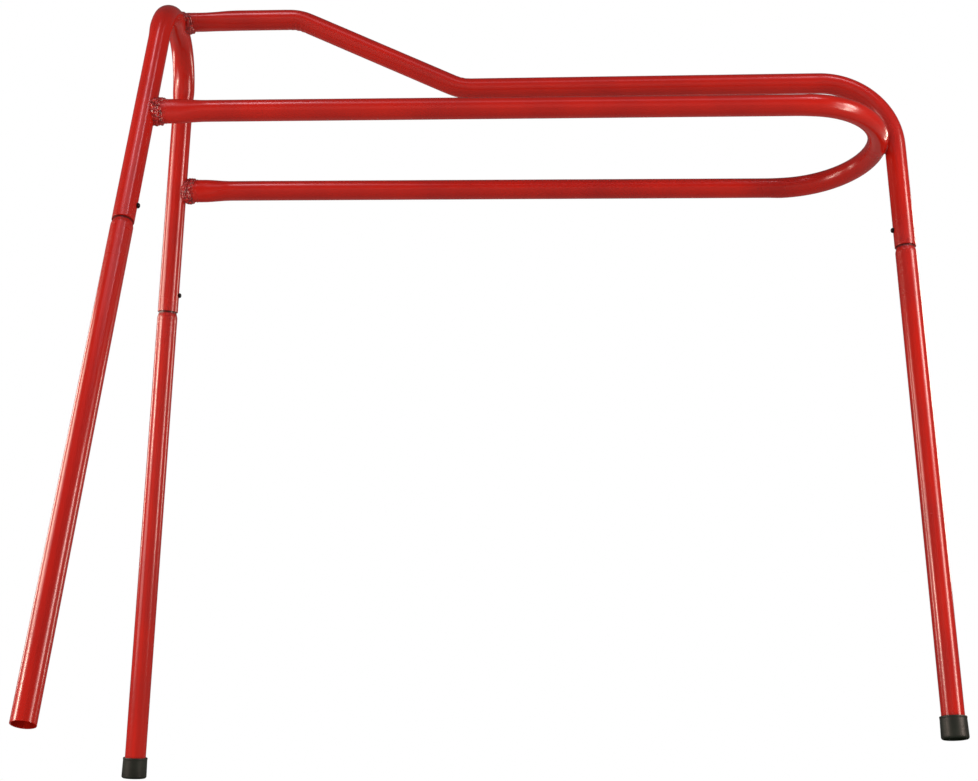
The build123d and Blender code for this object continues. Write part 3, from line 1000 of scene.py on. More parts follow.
@dataclass(frozen=True)
class PowderCoat:
    """Polyester powder coat on steel tube, sprayed dry and baked: a deep gloss red over a faint
    orange peel, coarser where the tube was swaged or welded."""

    name: str = "Red polyester powder coat"
    colour: str = "#AE180A"
    deep: str = "#7E0C0D"  # thicker coat, in the hollows and along the seams
    groove_shade_colour: str = "#240505"  # painted shade in the grooves of the joints, under a socket's rim
    ior: float = 1.5
    roughness: float = 0.24
    coat: float = 0.3
    coat_roughness: float = 0.08
    peel_mm: float = 5.0
    peel_height: float = 0.006
    grain_mm: float = 2.3  # real grain is about 0.3 mm; drawn coarser so that it shows
    grain_height: float = 0.45
    mottle_mm: float = 70.0

    def build(self) -> bpy.types.Material:
        """Builds the finish.

        Returns:
            The material.
        """
        tree, shader = open_material(self.name)
        place = millimetres(tree)
        grain = add_node(tree, "ShaderNodeAttribute", attribute_name="grain").outputs["Fac"]
        mottle, fleck, peel = (
            add_node(
                tree, "ShaderNodeTexNoise", {"Vector": place, "Scale": 1 / size, "Detail": detail}
            ).outputs[0]
            for size, detail in ((self.mottle_mm, 3.0), (self.grain_mm, 2.0), (self.peel_mm, 0.0))
        )

        share = {"Value": mottle, 1: 0.35, 2: 0.75, 3: 0.0, 4: 0.45}
        share = add_node(tree, "ShaderNodeMapRange", share)
        dark = {"Value": fleck, 1: 0.35, 2: 0.6, 3: 1.0, 4: 0.0}
        dark = add_node(tree, "ShaderNodeMapRange", dark)
        dark = add_node(tree, "ShaderNodeMath", {0: dark, 1: grain}, operation="MULTIPLY")
        share = add_node(tree, "ShaderNodeMath", {0: share, 1: dark}, operation="MAXIMUM")
        # painted shade: the joint's groove is darkened towards a near-black red, where the socket's
        # rim throws its shadow
        groove_shade = add_node(tree, "ShaderNodeAttribute", attribute_name="groove_shade").outputs["Fac"]
        colour = linear(self.colour)
        for amount, second in ((share, self.deep), (groove_shade, self.groove_shade_colour)):
            mix = {0: amount, 6: colour, 7: linear(second)}
            colour = add_node(tree, "ShaderNodeMix", mix, data_type="RGBA").outputs[2]
        tree.links.new(colour, shader.inputs["Base Color"])

        rough = add_node(
            tree,
            "ShaderNodeMapRange",
            {"Value": mottle, 1: 0.3, 2: 0.7, 3: self.roughness - 0.03, 4: self.roughness + 0.04},
        )
        rough = {0: grain, 1: 0.12, 2: rough}
        rough = add_node(tree, "ShaderNodeMath", rough, operation="MULTIPLY_ADD")
        tree.links.new(rough.outputs[0], shader.inputs["Roughness"])

        relief = {0: grain, 1: self.grain_height}
        relief = add_node(tree, "ShaderNodeMath", relief, operation="MULTIPLY")
        relief = add_node(tree, "ShaderNodeMath", {0: fleck, 1: relief}, operation="MULTIPLY")
        relief = {0: peel, 1: self.peel_height, 2: relief}
        relief = add_node(tree, "ShaderNodeMath", relief, operation="MULTIPLY_ADD")
        bump = add_node(tree, "ShaderNodeBump", {"Strength": 1.0, "Distance": MM, "Height": relief})
        tree.links.new(bump.outputs[0], shader.inputs["Normal"])
        shader.inputs["IOR"].default_value = self.ior
        shader.inputs["Coat Weight"].default_value = self.coat
        shader.inputs["Coat Roughness"].default_value = self.coat_roughness
        return bpy.data.materials[self.name]


@dataclass(frozen=True)
class Plain:
    """A finish of one colour, mottled towards a second, with a fine relief."""

    name: str
    colour: str
    second: str
    roughness: float
    spread: float  # of the roughness
    metallic: float
    ior: float
    mottle_mm: float
    relief_mm: float
    relief_height: float
    coat: float = 0.0
    stretch: tuple[float, float, float] = (1.0, 1.0, 1.0)

    def build(self) -> bpy.types.Material:
        """Builds the finish.

        Returns:
            The material.
        """
        tree, shader = open_material(self.name)
        place = add_node(tree, "ShaderNodeMapping", {0: millimetres(tree), "Scale": self.stretch})
        mottle, fine = (
            add_node(
                tree, "ShaderNodeTexNoise", {"Vector": place, "Scale": 1 / size, "Detail": detail}
            ).outputs[0]
            for size, detail in ((self.mottle_mm, 4.0), (self.relief_mm, 3.0))
        )
        share = {"Value": mottle, 1: 0.35, 2: 0.65, 3: 0.0, 4: 1.0}
        share = add_node(tree, "ShaderNodeMapRange", share)
        colour = {0: share, 6: linear(self.colour), 7: linear(self.second)}
        colour = add_node(tree, "ShaderNodeMix", colour, data_type="RGBA").outputs[2]
        tree.links.new(colour, shader.inputs["Base Color"])
        rough = {"Value": fine, 1: 0.3, 2: 0.7, 3: self.roughness, 4: self.roughness + self.spread}
        rough = add_node(tree, "ShaderNodeMapRange", rough)
        tree.links.new(rough.outputs[0], shader.inputs["Roughness"])
        bump = {"Strength": 1.0, "Distance": self.relief_height * MM, "Height": fine}
        bump = add_node(tree, "ShaderNodeBump", bump)
        tree.links.new(bump.outputs[0], shader.inputs["Normal"])
        shader.inputs["Metallic"].default_value = self.metallic
        shader.inputs["IOR"].default_value = self.ior
        shader.inputs["Coat Weight"].default_value = self.coat
        return bpy.data.materials[self.name]


class Finish(Enum):
    """Every finish on the rack."""

    COAT = PowderCoat()
    # the same powder over a rough bead: it pools in the hollows, so they look darker
    WELD = Plain(
        "Powder coated weld bead", "#B01C16", "#520A0B", 0.18, 0.1, 0.0, 1.5, 3.2, 2.4, 0.5, 0.8
    )
    # mill scale inside the tube, with a breath of overspray
    BORE = Plain(
        "Mill scale with red overspray", "#3A0D0D", "#1C1210", 0.55, 0.2, 0.0, 1.5, 9.0, 0.8, 0.05
    )
    # natural rubber, moulded in a polished tool: black with a green-grey bloom
    RUBBER = Plain(
        "Moulded black rubber", "#111611", "#1B221B", 0.36, 0.2, 0.0, 1.52, 14.0, 0.7, 0.03
    )
    # blackened steel: a dark oxide that keeps a metallic glint
    BLACKENED = Plain("Blackened steel", "#120C0C", "#1E1212", 0.3, 0.15, 0.6, 1.5, 3.0, 0.5, 0.01)
    # tempered spring strip: straw to blue-grey, rolled along its length
    SPRING = Plain(
        "Tempered spring steel", "#8C8A86", "#6F7078", 0.24, 0.12, 1.0, 1.5, 6.0, 0.4, 0.006
    )


@dataclass
class Paints:
    """The materials of the rack, built once."""

    made: dict[Finish, bpy.types.Material] = field(default_factory=dict)

    def __getitem__(self, finish: Finish) -> bpy.types.Material:
        """The material of a finish, built when it is first asked for.

        Args:
            finish: the finish.

        Returns:
            Its material.
        """
        if finish not in self.made:
            self.made[finish] = finish.value.build()
        return self.made[finish]


# ------------------------------------------------------------------ welded frame


@dataclass(frozen=True)
class Bead:
    """How the bead of one joint is laid, in millimetres."""

    seed: int
    low: float  # how much fatter it is at its lowest point, as a share
    radius: float = 1.7
    ripple_pitch: float = 2.4
    ripple_depth: float = 0.45
    lump_size: float = 4.4
    lump_depth: float = 4.8
    spatter_count: int = 46
    spatter_radius: float = 0.75
    spatter_reach: float = 9.0

    def inputs(self, run: Vector) -> dict:
        """The bead tree's named inputs.

        Args:
            run: unit vector along the tube that ends at the joint.

        Returns:
            The values by input name.
        """
        return {
            "Bead Radius": self.radius,
            "Ripple Pitch": self.ripple_pitch,
            "Ripple Depth": self.ripple_depth,
            "Lump Size": self.lump_size,
            "Lump Depth": self.lump_depth,
            "Spatter Count": self.spatter_count,
            "Spatter Radius": self.spatter_radius,
            "Spatter Reach": self.spatter_reach,
            "Run Direction": run,
            "Seed": self.seed,
        }


@dataclass
class WeldedFrame:
    """The hoop, the spine and the saddle rail loop with the beads that join them."""

    layout: Layout
    stock: Stock
    paints: Paints
    hoop_corner_r: float = 70.0
    spine_start: float = 2.0
    spine_press: Press = Press(36.0, 72.0, 3.1, 3.7)
    bend_1: float = 156.2
    bend_2: float = 360.8
    bend_r: float = 49.2
    rear_bend_r: float = 87.3
    rail_press: Press = Press(36.0, 72.0, 5.6, 6.4)
    rail_spread: float = 0.30
    tip_bite: float = 0.8
    hairpin_flat: float = 1.0
    hole_rise: float = 22.0
    hole_radius: float = 3.3
    socket_quiet: float = 60.0  # length at a socket that keeps its true bore
    fit_bite: float = 0.4  # how far a fitted end sinks into the tube that it meets
    spine_bead: Bead = Bead(3, 0.5)
    rail_beads: Sequence[Bead] = (Bead(5, 0.35), Bead(8, 0.35))
    tip_bead: Bead = Bead(13, 0.6, 1.9, lump_depth=1.4, spatter_count=6, spatter_reach=1.0)
    # each pass of a bead: how far back it lies, its size, and its seam's share of the section
    spine_passes: Sequence[tuple[float, float, float]] = (
        (0.4, 1.0, 1.0),
        (3.8, 1.15, 1.0),
        (7.2, 0.8, 1.0),
        (0.4, 1.1, 0.76),
    )
    rail_passes: Sequence[tuple[float, float, float]] = (
        (0.8, 0.7, 1.0),
        (3.8, 1.15, 1.0),
        (7.4, 1.0, 1.0),
        (10.6, 0.7, 1.0),
    )
    body: str = "frame"

    def hoop(self) -> Tube:
        """The splayed inverted U at the front.

        Returns:
            Its tube, from the near leg's end to the far leg's.
        """
        layout, shoulder = self.layout, self.layout.hoop_shoulder
        corners = [layout.on_hoop(-shoulder, 0), layout.on_hoop(shoulder, 0)]
        corners = [layout.hoop_end(-1), *corners, layout.hoop_end(1)]
        line = Line(corners, [self.hoop_corner_r] * 2, layout.hoop_normal)
        total, splay = line.length, math.radians(layout.hoop_splay)
        rail = layout.hoop_leg - (self.rail_below() / math.cos(splay))
        grains = [(at, 9.0, 0.18) for at in (rail, total - rail)]
        grains += [(total / 2, 10.0, 0.2), (0, 16.0, 0.5), (total, 16.0, 0.5)]
        return Tube(
            "front_hoop",
            line,
            self.stock,
            grains=grains,
            holes=[
                (seat_of(side, layout), self.hole_rise, self.hole_radius)
                for side in (Side.NEAR, Side.FAR)
            ],
            quiet=[(0, self.socket_quiet), (total - self.socket_quiet, total)],
            flattening=0.9,
        )

    def rail_below(self) -> float:
        """How far the rails cross below the hoop's top, up the rake."""
        return self.layout.rail_below_top / math.cos(math.radians(self.layout.hoop_rake))

    def spine(self) -> Tube:
        """The top rail, which dips and turns down into the rear tube.

        Returns:
            Its tube, from the hoop to the rear socket.
        """
        layout, across = self.layout, Vector((0, 1, 0))
        end_z = layout.hoop_top + layout.spine_over_hoop
        front_z = end_z + layout.spine_end_drop
        corners = [
            (self.spine_start, end_z),
            (self.spine_press.flat, end_z),
            (self.spine_press.round_at, front_z),
            (self.bend_1, front_z),
            (self.bend_2, layout.spine_rear_z),
            (layout.spine_length, layout.spine_rear_z),
        ]
        points = [Vector((layout.hoop_x + x, 0, z)) for x, z in corners] + [layout.rear_end]
        gentle, tight = 300.0, 60.0  # bend radii: at the pressed end, and below which it wrinkles
        radii = [gentle, gentle, self.bend_r, self.bend_r, self.rear_bend_r]
        line = Line(points, radii, across)
        total = line.length
        bends = [bend for bend in line.bends() if abs(bend[2]) > 1 / tight]
        first, second = [start + length / 2 for start, length, _ in bends[:2]]
        hoop = Vector((layout.hoop_x, 0, layout.hoop_top))
        return Tube(
            "spine",
            line,
            self.stock,
            presses={0: self.spine_press},
            saddles={0: Saddle(hoop, across, self.stock.radius - self.fit_bite)},
            grains=[(10.0, 12.0, 1.0), (total, 22.0, 0.8)],
            wrinkles=[(first, 13.0, 8.8, 0.45), (second, 11.0, 8.8, 0.25)],
            holes=[(seat_of(Side.REAR, layout), self.hole_rise, self.hole_radius)],
            quiet=[(total - self.socket_quiet, total)],
        )

    def rail_half(self) -> float:
        """Half the width between the rails at the hoop's legs."""
        splay = math.radians(self.layout.hoop_splay)
        return self.layout.hoop_shoulder + self.rail_below() * math.tan(splay)

    def rail_start(self) -> Vector:
        """Middle of the line between the rails' front ends.

        Returns:
            The point.
        """
        layout = self.layout
        back = layout.rail_below_top * math.tan(math.radians(layout.hoop_rake))
        return Vector((layout.hoop_x - back, 0, layout.hoop_top - layout.rail_below_top))

    def loop_reach(self) -> float:
        """Length of the loop from the hoop's legs to the hairpin's tip line.

        Returns:
            The length.
        """
        layout, start = self.layout, self.rail_start()
        slope, rake = math.radians(layout.rail_slope), math.radians(layout.rear_rake)
        lean = math.tan(rake)
        tube_x = layout.rear_x - (layout.spine_rear_z - start.z) * lean
        standoff = (2 * self.stock.radius - self.tip_bite) / math.cos(rake)
        return (tube_x - standoff - start.x) / (math.cos(slope) + math.sin(slope) * lean)

    def on_loop(self, back: float, out: float) -> Vector:
        """A point of the loop's plane, by its distance back from the hoop's legs and out."""
        slope = math.radians(self.layout.rail_slope)
        return self.rail_start() + Vector((back * math.cos(slope), out, -back * math.sin(slope)))

    def loop(self) -> Tube:
        """The level hairpin that carries the saddle's panels.

        Returns:
            Its tube, from the near leg to the far one.
        """
        layout = self.layout
        spread, slope = math.radians(self.rail_spread), math.radians(layout.rail_slope)
        half, reach = self.rail_half(), self.loop_reach()
        tip = half + reach * math.tan(spread)
        radius = (tip - self.hairpin_flat / 2) / math.tan((math.pi / 2 + spread) / 2)
        across = Vector((math.sin(slope), 0, math.cos(slope)))
        corners = ((0, -half), (reach, -tip), (reach, tip), (0, half))
        line = Line([self.on_loop(*corner) for corner in corners], [radius, radius], across)
        total = line.length
        saddles = {}
        for end, sign in ((0, -1), (1, 1)):
            foot, top = layout.hoop_end(sign), layout.on_hoop(sign * layout.hoop_shoulder, 0)
            up = (top - foot).normalized()
            saddles[end] = Saddle(foot, up, self.stock.radius - self.fit_bite)
        return Tube(
            "saddle_rail_loop",
            line,
            self.stock,
            presses={0: self.rail_press, 1: self.rail_press},
            saddles=saddles,
            grains=[(14.0, 11.0, 1.0), (total - 14.0, 11.0, 1.0), (total / 2, 8.0, 0.6)],
            flattening=0.45,
        )

    def seam(
        self, tube: Tube, end: int, back: float, share: float, count: int = 96
    ) -> list[Vector]:
        """The closed seam round a squashed end, on the tube that it meets.

        Args:
            tube: the squashed tube.
            end: 0 for its start, 1 for its end.
            back: how far the seam is drawn back along the squashed tube.
            share: its size, as a share of the squashed section's.
            count: points round it.

        Returns:
            The points, in millimetres.
        """
        start, heading, _ = tube.line.at(tube.line.length if end else 0.0)
        inward = -heading if end else heading
        across, press = tube.line.across, tube.presses[end]
        level = across.cross(inward)
        angles = np.linspace(0, 2 * math.pi, count, endpoint=False)
        wide = across * (tube.stock.radius + press.stretch / 2)
        high = level * (tube.stock.radius - press.squash / 2)
        feet = [start + share * (wide * math.cos(a) + high * math.sin(a)) for a in angles]
        feet = np.array(feet)
        cuts = tube.saddles[end].cut(feet, np.array(inward))
        return [Vector(foot) + inward * (cut + back) for foot, cut in zip(feet, cuts)]

    def weld(
        self,
        name: str,
        passes: Sequence[tuple[list[Vector], float]],
        run: Vector,
        bead: Bead,
        tree: bpy.types.NodeTree,
    ) -> None:
        """Lays the bead of one joint and makes it a piece.

        Args:
            name: the piece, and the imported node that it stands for.
            passes: for each pass, its closed seam and its size as a share.
            run: unit vector along the tube that ends here.
            bead: how the bead is laid.
            tree: the tree that lays beads.
        """
        points, edges, swell = [], [], []
        for seam, size in passes:
            first, count = len(points), len(seam)
            lowest, highest = min(p.z for p in seam), max(p.z for p in seam)
            points += [tuple(p) for p in seam]
            edges += [(first + i, first + (i + 1) % count) for i in range(count)]
            depths = [(highest - p.z) / (highest - lowest) for p in seam]
            swell += [size * (1 + bead.low * depth**2) for depth in depths]
        host = bpy.data.meshes.new("seams")
        host.from_pydata(points, edges, [])
        held = host.attributes.new("swell", "FLOAT", "POINT")
        held.data.foreach_set("value", np.array(swell, np.float32))
        mesh = grow(host, tree, bead.inputs(run))
        bm = bmesh.new()
        bm.from_mesh(mesh)
        bmesh.ops.recalc_face_normals(bm, faces=bm.faces)
        bm.to_mesh(mesh)
        bm.free()
        paints = [self.paints[Finish.WELD]]
        finish_piece(f"{name}_bead", mesh, self.body, name, paints)

    def welds(self, spine: Tube, loop: Tube, tree: bpy.types.NodeTree) -> None:
        """The four beads of the frame.

        Args:
            spine: the spine's tube.
            loop: the saddle rail loop's tube.
            tree: the tree that lays beads.
        """
        passes = [
            (self.seam(spine, 0, back, share), size) for back, size, share in self.spine_passes
        ]
        self.weld("spine_weld", passes, Vector((1, 0, 0)), self.spine_bead, tree)
        for end, name in enumerate(("near_rail_weld", "far_rail_weld")):
            heading = loop.line.at(loop.line.length if end else 0.0)[1]
            passes = [
                (self.seam(loop, end, back, share), size) for back, size, share in self.rail_passes
            ]
            self.weld(name, passes, -heading if end else heading, self.rail_beads[end], tree)
        tip = self.on_loop(self.loop_reach(), 0)
        radius, ring_points = self.stock.radius, 64
        half = math.sqrt(radius**2 - (radius - self.tip_bite) ** 2)
        ring = []
        for i in range(ring_points):
            angle = 2 * math.pi * i / ring_points
            y, z = half * math.cos(angle), half * math.sin(angle)
            ring.append(tip + Vector((radius - self.tip_bite * math.sin(angle) ** 2, y, z)))
        self.weld("tip_weld", [(ring, 1.0)], Vector((0, 1, 0)), self.tip_bead, tree)

    def build(self, tube_maker: bpy.types.NodeTree, weld_maker: bpy.types.NodeTree) -> None:
        """Builds and dresses the whole frame.

        Args:
            tube_maker: the tree that grows a tube.
            weld_maker: the tree that lays beads.
        """
        hoop, spine, loop = self.hoop(), self.spine(), self.loop()
        for seed, tube in enumerate((hoop, spine, loop)):
            mesh = tube.build(tube_maker, float(seed))
            paints = [self.paints[Finish.COAT], self.paints[Finish.BORE]]
            finish_piece(f"{tube.name}_tube", mesh, self.body, tube.name, paints)
        self.welds(spine, loop, weld_maker)


# ------------------------------------------------------------------ plug-in legs


@dataclass
class PlugInLeg:
    """A lower leg with its swaged spigot, sprung button and, on two of them, a ferrule."""

    side: Side
    layout: Layout
    stock: Stock
    paints: Paints
    shod: bool = True
    spigot_length: float = 55.0
    spigot_radius: float = 11.1
    shoulder_gap: float = 0.5
    swage_length: float = 8.0
    button_rise: float = 22.0
    button_radius: float = 3.2
    button_proud: float = 3.2
    button_dome_r: float = 2.6
    hole_clearance: float = 0.1
    flange_radius: float = 4.4
    flange_thick: float = 0.9
    rivet_radius: float = 2.0
    rivet_head_radius: float = 2.9
    rivet_head_thick: float = 0.8
    spring_gap: float = 0.2
    strip_thick: float = 0.6
    strip_width: float = 8.0
    strip_tail: float = 6.0
    strip_rise: float = 28.0
    far_arm_tail: float = 8.0
    far_arm_flat: float = 12.0
    ferrule_wall: float = 2.0
    ferrule_height: float = 25.0
    ferrule_floor: float = 3.0
    ferrule_edge_r: float = 2.6
    ferrule_lip_r: float = 0.8
    ferrule_lip: float = 0.25  # how far the mouth's rolled edge stands out
    sole_relief: float = 0.7  # depth between the sole's rings

    @property
    def seat(self) -> Seat:
        """The socket that the leg plugs into."""
        return seat_of(self.side, self.layout)

    @property
    def body(self) -> str:
        """The leg's body."""
        return f"{self.side.value}_leg_assembly"

    def reach(self) -> float:
        """From the socket's end to the lowest point of the tube or of its ferrule.

        Returns:
            The distance along the leg.
        """
        up = self.seat.up
        tilt = math.sqrt(1 - up.z**2)
        if not self.shod:
            return (self.seat.origin.z - self.stock.radius * tilt) / up.z
        edge = self.ferrule_edge_r
        sole = (self.layout.ferrule_radius - edge) * tilt
        return (self.seat.origin.z - sole - edge * (1 - up.z)) / up.z

    def tube(self) -> Tube:
        """The leg's tube.

        Returns:
            The tube, from its foot up to the spigot's end.
        """
        seat = self.seat
        length = self.reach() - (self.ferrule_floor if self.shod else 0)
        shoulder = length - self.shoulder_gap - self.swage_length

        def neck(marks: np.ndarray) -> np.ndarray:
            """Radius by distance from the foot."""
            drop = self.stock.radius - self.spigot_radius
            return self.stock.radius - drop * ease((marks - shoulder) / self.swage_length)

        ends = [seat.point(0, 0, -length), seat.point(0, 0, self.spigot_length)]
        line = Line(ends, [], seat.side)
        quiet = [(length - 20, length + self.spigot_length)]
        if self.shod:
            quiet.append((0, self.ferrule_height + 5))
        return Tube(
            f"{self.side.value}_leg",
            line,
            self.stock,
            grains=[
                (shoulder + self.swage_length, 13.0, 1.0),
                (length + self.button_rise, 1.0, 0.0),  # no grain: it only sets a fine spacing
                (shoulder - 22, 26.0, 0.35),
            ],
            neck=neck,
            grooves=[length - self.shoulder_gap - 0.6],
            holes=[(seat, self.button_rise, self.button_radius + self.hole_clearance)],
            # painted shade in the groove just under the socket's mouth
            quiet=quiet,
            waviness=0.08,
        )

    def ferrule(self) -> bpy.types.Mesh:
        """The rubber cup on the foot, with a rolled mouth and a ringed sole.

        Returns:
            The closed mesh, in millimetres.
        """
        bottom, radius = -self.reach(), self.stock.radius
        wide, mouth = self.layout.ferrule_radius, radius + self.ferrule_wall
        rolled, relief = mouth + self.ferrule_lip, bottom + self.sole_relief
        corners = [
            (0, bottom + self.ferrule_floor),
            (radius, bottom + self.ferrule_floor),
            (radius, bottom + self.ferrule_height),
            (rolled, bottom + self.ferrule_height),
            (rolled, bottom + self.ferrule_height - 1.8),
            (mouth, bottom + self.ferrule_height - 2.6),
            (wide - 0.1, bottom + 5.5),
            (wide, bottom),
            (wide - 4.2, bottom),
            (wide - 4.8, relief),
            (wide - 6.4, relief),
            (wide - 7.0, bottom + 0.1),
            (wide - 9.0, bottom + 0.1),
            (wide - 9.6, relief),
            (0, relief),
        ]
        radii = [0.5, 0.3, self.ferrule_lip_r, 0.3, 0.6, 4.0, self.ferrule_edge_r, *[0.3] * 6]
        line = Line([Vector((x, 0, z)) for x, z in corners], radii, Vector((0, 1, 0)))
        return revolve(line, self.seat, step=0.9, sides=96)

    def arms(self) -> tuple[float, float, float]:
        """Where the button and the spring lie in the spigot's bore.

        Returns:
            The flange's face, the near arm's middle and the far arm's middle, outwards from
            the leg's axis.
        """
        bore = self.spigot_radius - self.stock.wall
        face = math.sqrt(bore**2 - self.flange_radius**2) - self.spring_gap
        near = face - self.flange_thick - self.spring_gap - self.strip_thick / 2
        depth = math.sqrt(bore**2 - (self.strip_width / 2) ** 2)
        far = -(depth - self.spring_gap - self.strip_thick / 2)
        return face, near, far

    def button(self) -> bpy.types.Mesh:
        """The domed button, its flange and its riveted tail.

        Returns:
            The closed mesh, in millimetres.
        """
        face, near, _ = self.arms()
        back = face - self.flange_thick
        rivet = near - self.strip_thick / 2 - self.spring_gap
        tip = self.stock.radius + self.button_proud
        corners = [
            (0, tip + 0.001),
            (self.button_radius, tip),
            (self.button_radius, face),
            (self.flange_radius, face),
            (self.flange_radius, back),
            (self.rivet_radius, back),
            (self.rivet_radius, rivet),
            (self.rivet_head_radius, rivet),
            (self.rivet_head_radius, rivet - self.rivet_head_thick),
            (0, rivet - self.rivet_head_thick - 0.001),
        ]
        radii = [self.button_dome_r, 0.25, 0.2, 0.2, 0.15, 0.15, 0.2, 0.3]
        line = Line([Vector((x, 0, z)) for x, z in corners], radii, Vector((0, 1, 0)))
        seat = self.seat
        across = Seat(seat.point(0, 0, self.button_rise), seat.out, seat.up)
        return revolve(line, across, step=0.35, sides=64)

    def spring(self) -> bpy.types.Mesh:
        """The V of spring strip that carries the button.

        Returns:
            The closed mesh, in millimetres.
        """
        seat = self.seat
        _, near, far = self.arms()
        rise = self.button_rise
        points = [
            (near, rise - self.strip_tail),
            (near, rise + self.strip_tail),
            ((near + far) / 2, rise + self.strip_rise),
            (far, rise - self.far_arm_tail + self.far_arm_flat),
            (far, rise - self.far_arm_tail),
        ]
        line = Line([seat.point(out, 0, up) for out, up in points], [6.0, 1.8, 6.0], seat.side)
        marks, across = run_marks(line, 0.7), np.linspace(-1, 1, 13) * self.strip_width / 2
        bm = bmesh.new()
        rows = [[bm.verts.new(line.at(mark)[0] + seat.side * y) for y in across] for mark in marks]
        for row, following in zip(rows, rows[1:]):
            for i in range(len(across) - 1):
                bm.faces.new((row[i], row[i + 1], following[i + 1], following[i]))
        hole, centre = self.rivet_radius + self.spring_gap, seat.point(near, 0, rise)
        for vert in bm.verts:
            away = vert.co - centre
            flat = away - seat.out * away.dot(seat.out)
            if abs(away.dot(seat.out)) < 1 and 1e-6 < flat.length < hole:
                vert.co = centre + flat * (hole / flat.length)
        middle = [f for f in bm.faces if (f.calc_center_median() - centre).length < hole * 0.97]
        bmesh.ops.delete(bm, geom=middle, context="FACES")
        bmesh.ops.delete(bm, geom=[v for v in bm.verts if not v.link_faces], context="VERTS")
        mesh = bpy.data.meshes.new("strip")
        bm.to_mesh(mesh)
        bm.free()
        return thicken(mesh, self.strip_thick, edge=0.12, offset=0.0)

    def build(self, tube_maker: bpy.types.NodeTree, seed: float) -> None:
        """Builds and dresses the leg and all it carries.

        Args:
            tube_maker: the tree that grows a tube.
            seed: sets its tube's own unevenness.
        """
        side, body, paints = self.side.value, self.body, self.paints
        coat = [paints[Finish.COAT], paints[Finish.BORE]]
        name = f"{side}_leg"
        mesh = self.tube().build(tube_maker, seed)
        finish_piece(f"{name}_tube", mesh, body, name, coat)
        if self.shod:
            name = f"{side}_ferrule"
            rubber = [paints[Finish.RUBBER]]
            finish_piece(f"{name}_cup", self.ferrule(), body, name, rubber)
        name = f"{side}_snap_button"
        black = [paints[Finish.BLACKENED]]
        finish_piece(f"{name}_pin", self.button(), f"{side}_button", name, black)
        name = f"{side}_button_spring"
        steel = [paints[Finish.SPRING]] * 2
        strip = finish_piece(f"{name}_strip", self.spring(), "", name, steel)
        near = self.arms()[1]
        start = self.seat.point(0, 0, self.button_rise) * MM
        start + self.seat.out * near * MM
        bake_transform(strip)


# ------------------------------------------------------------------ studio


@dataclass(frozen=True)
class Softbox:
    """A rectangular light that faces the rack. Heading is from the front, to the right, in
    degrees; distances are in metres; glow is its radiance."""

    name: str
    heading: float
    elevation: float
    distance: float
    width: float
    height: float
    glow: float
    colour: str
    mirrored: bool = True  # whether gloss shows it


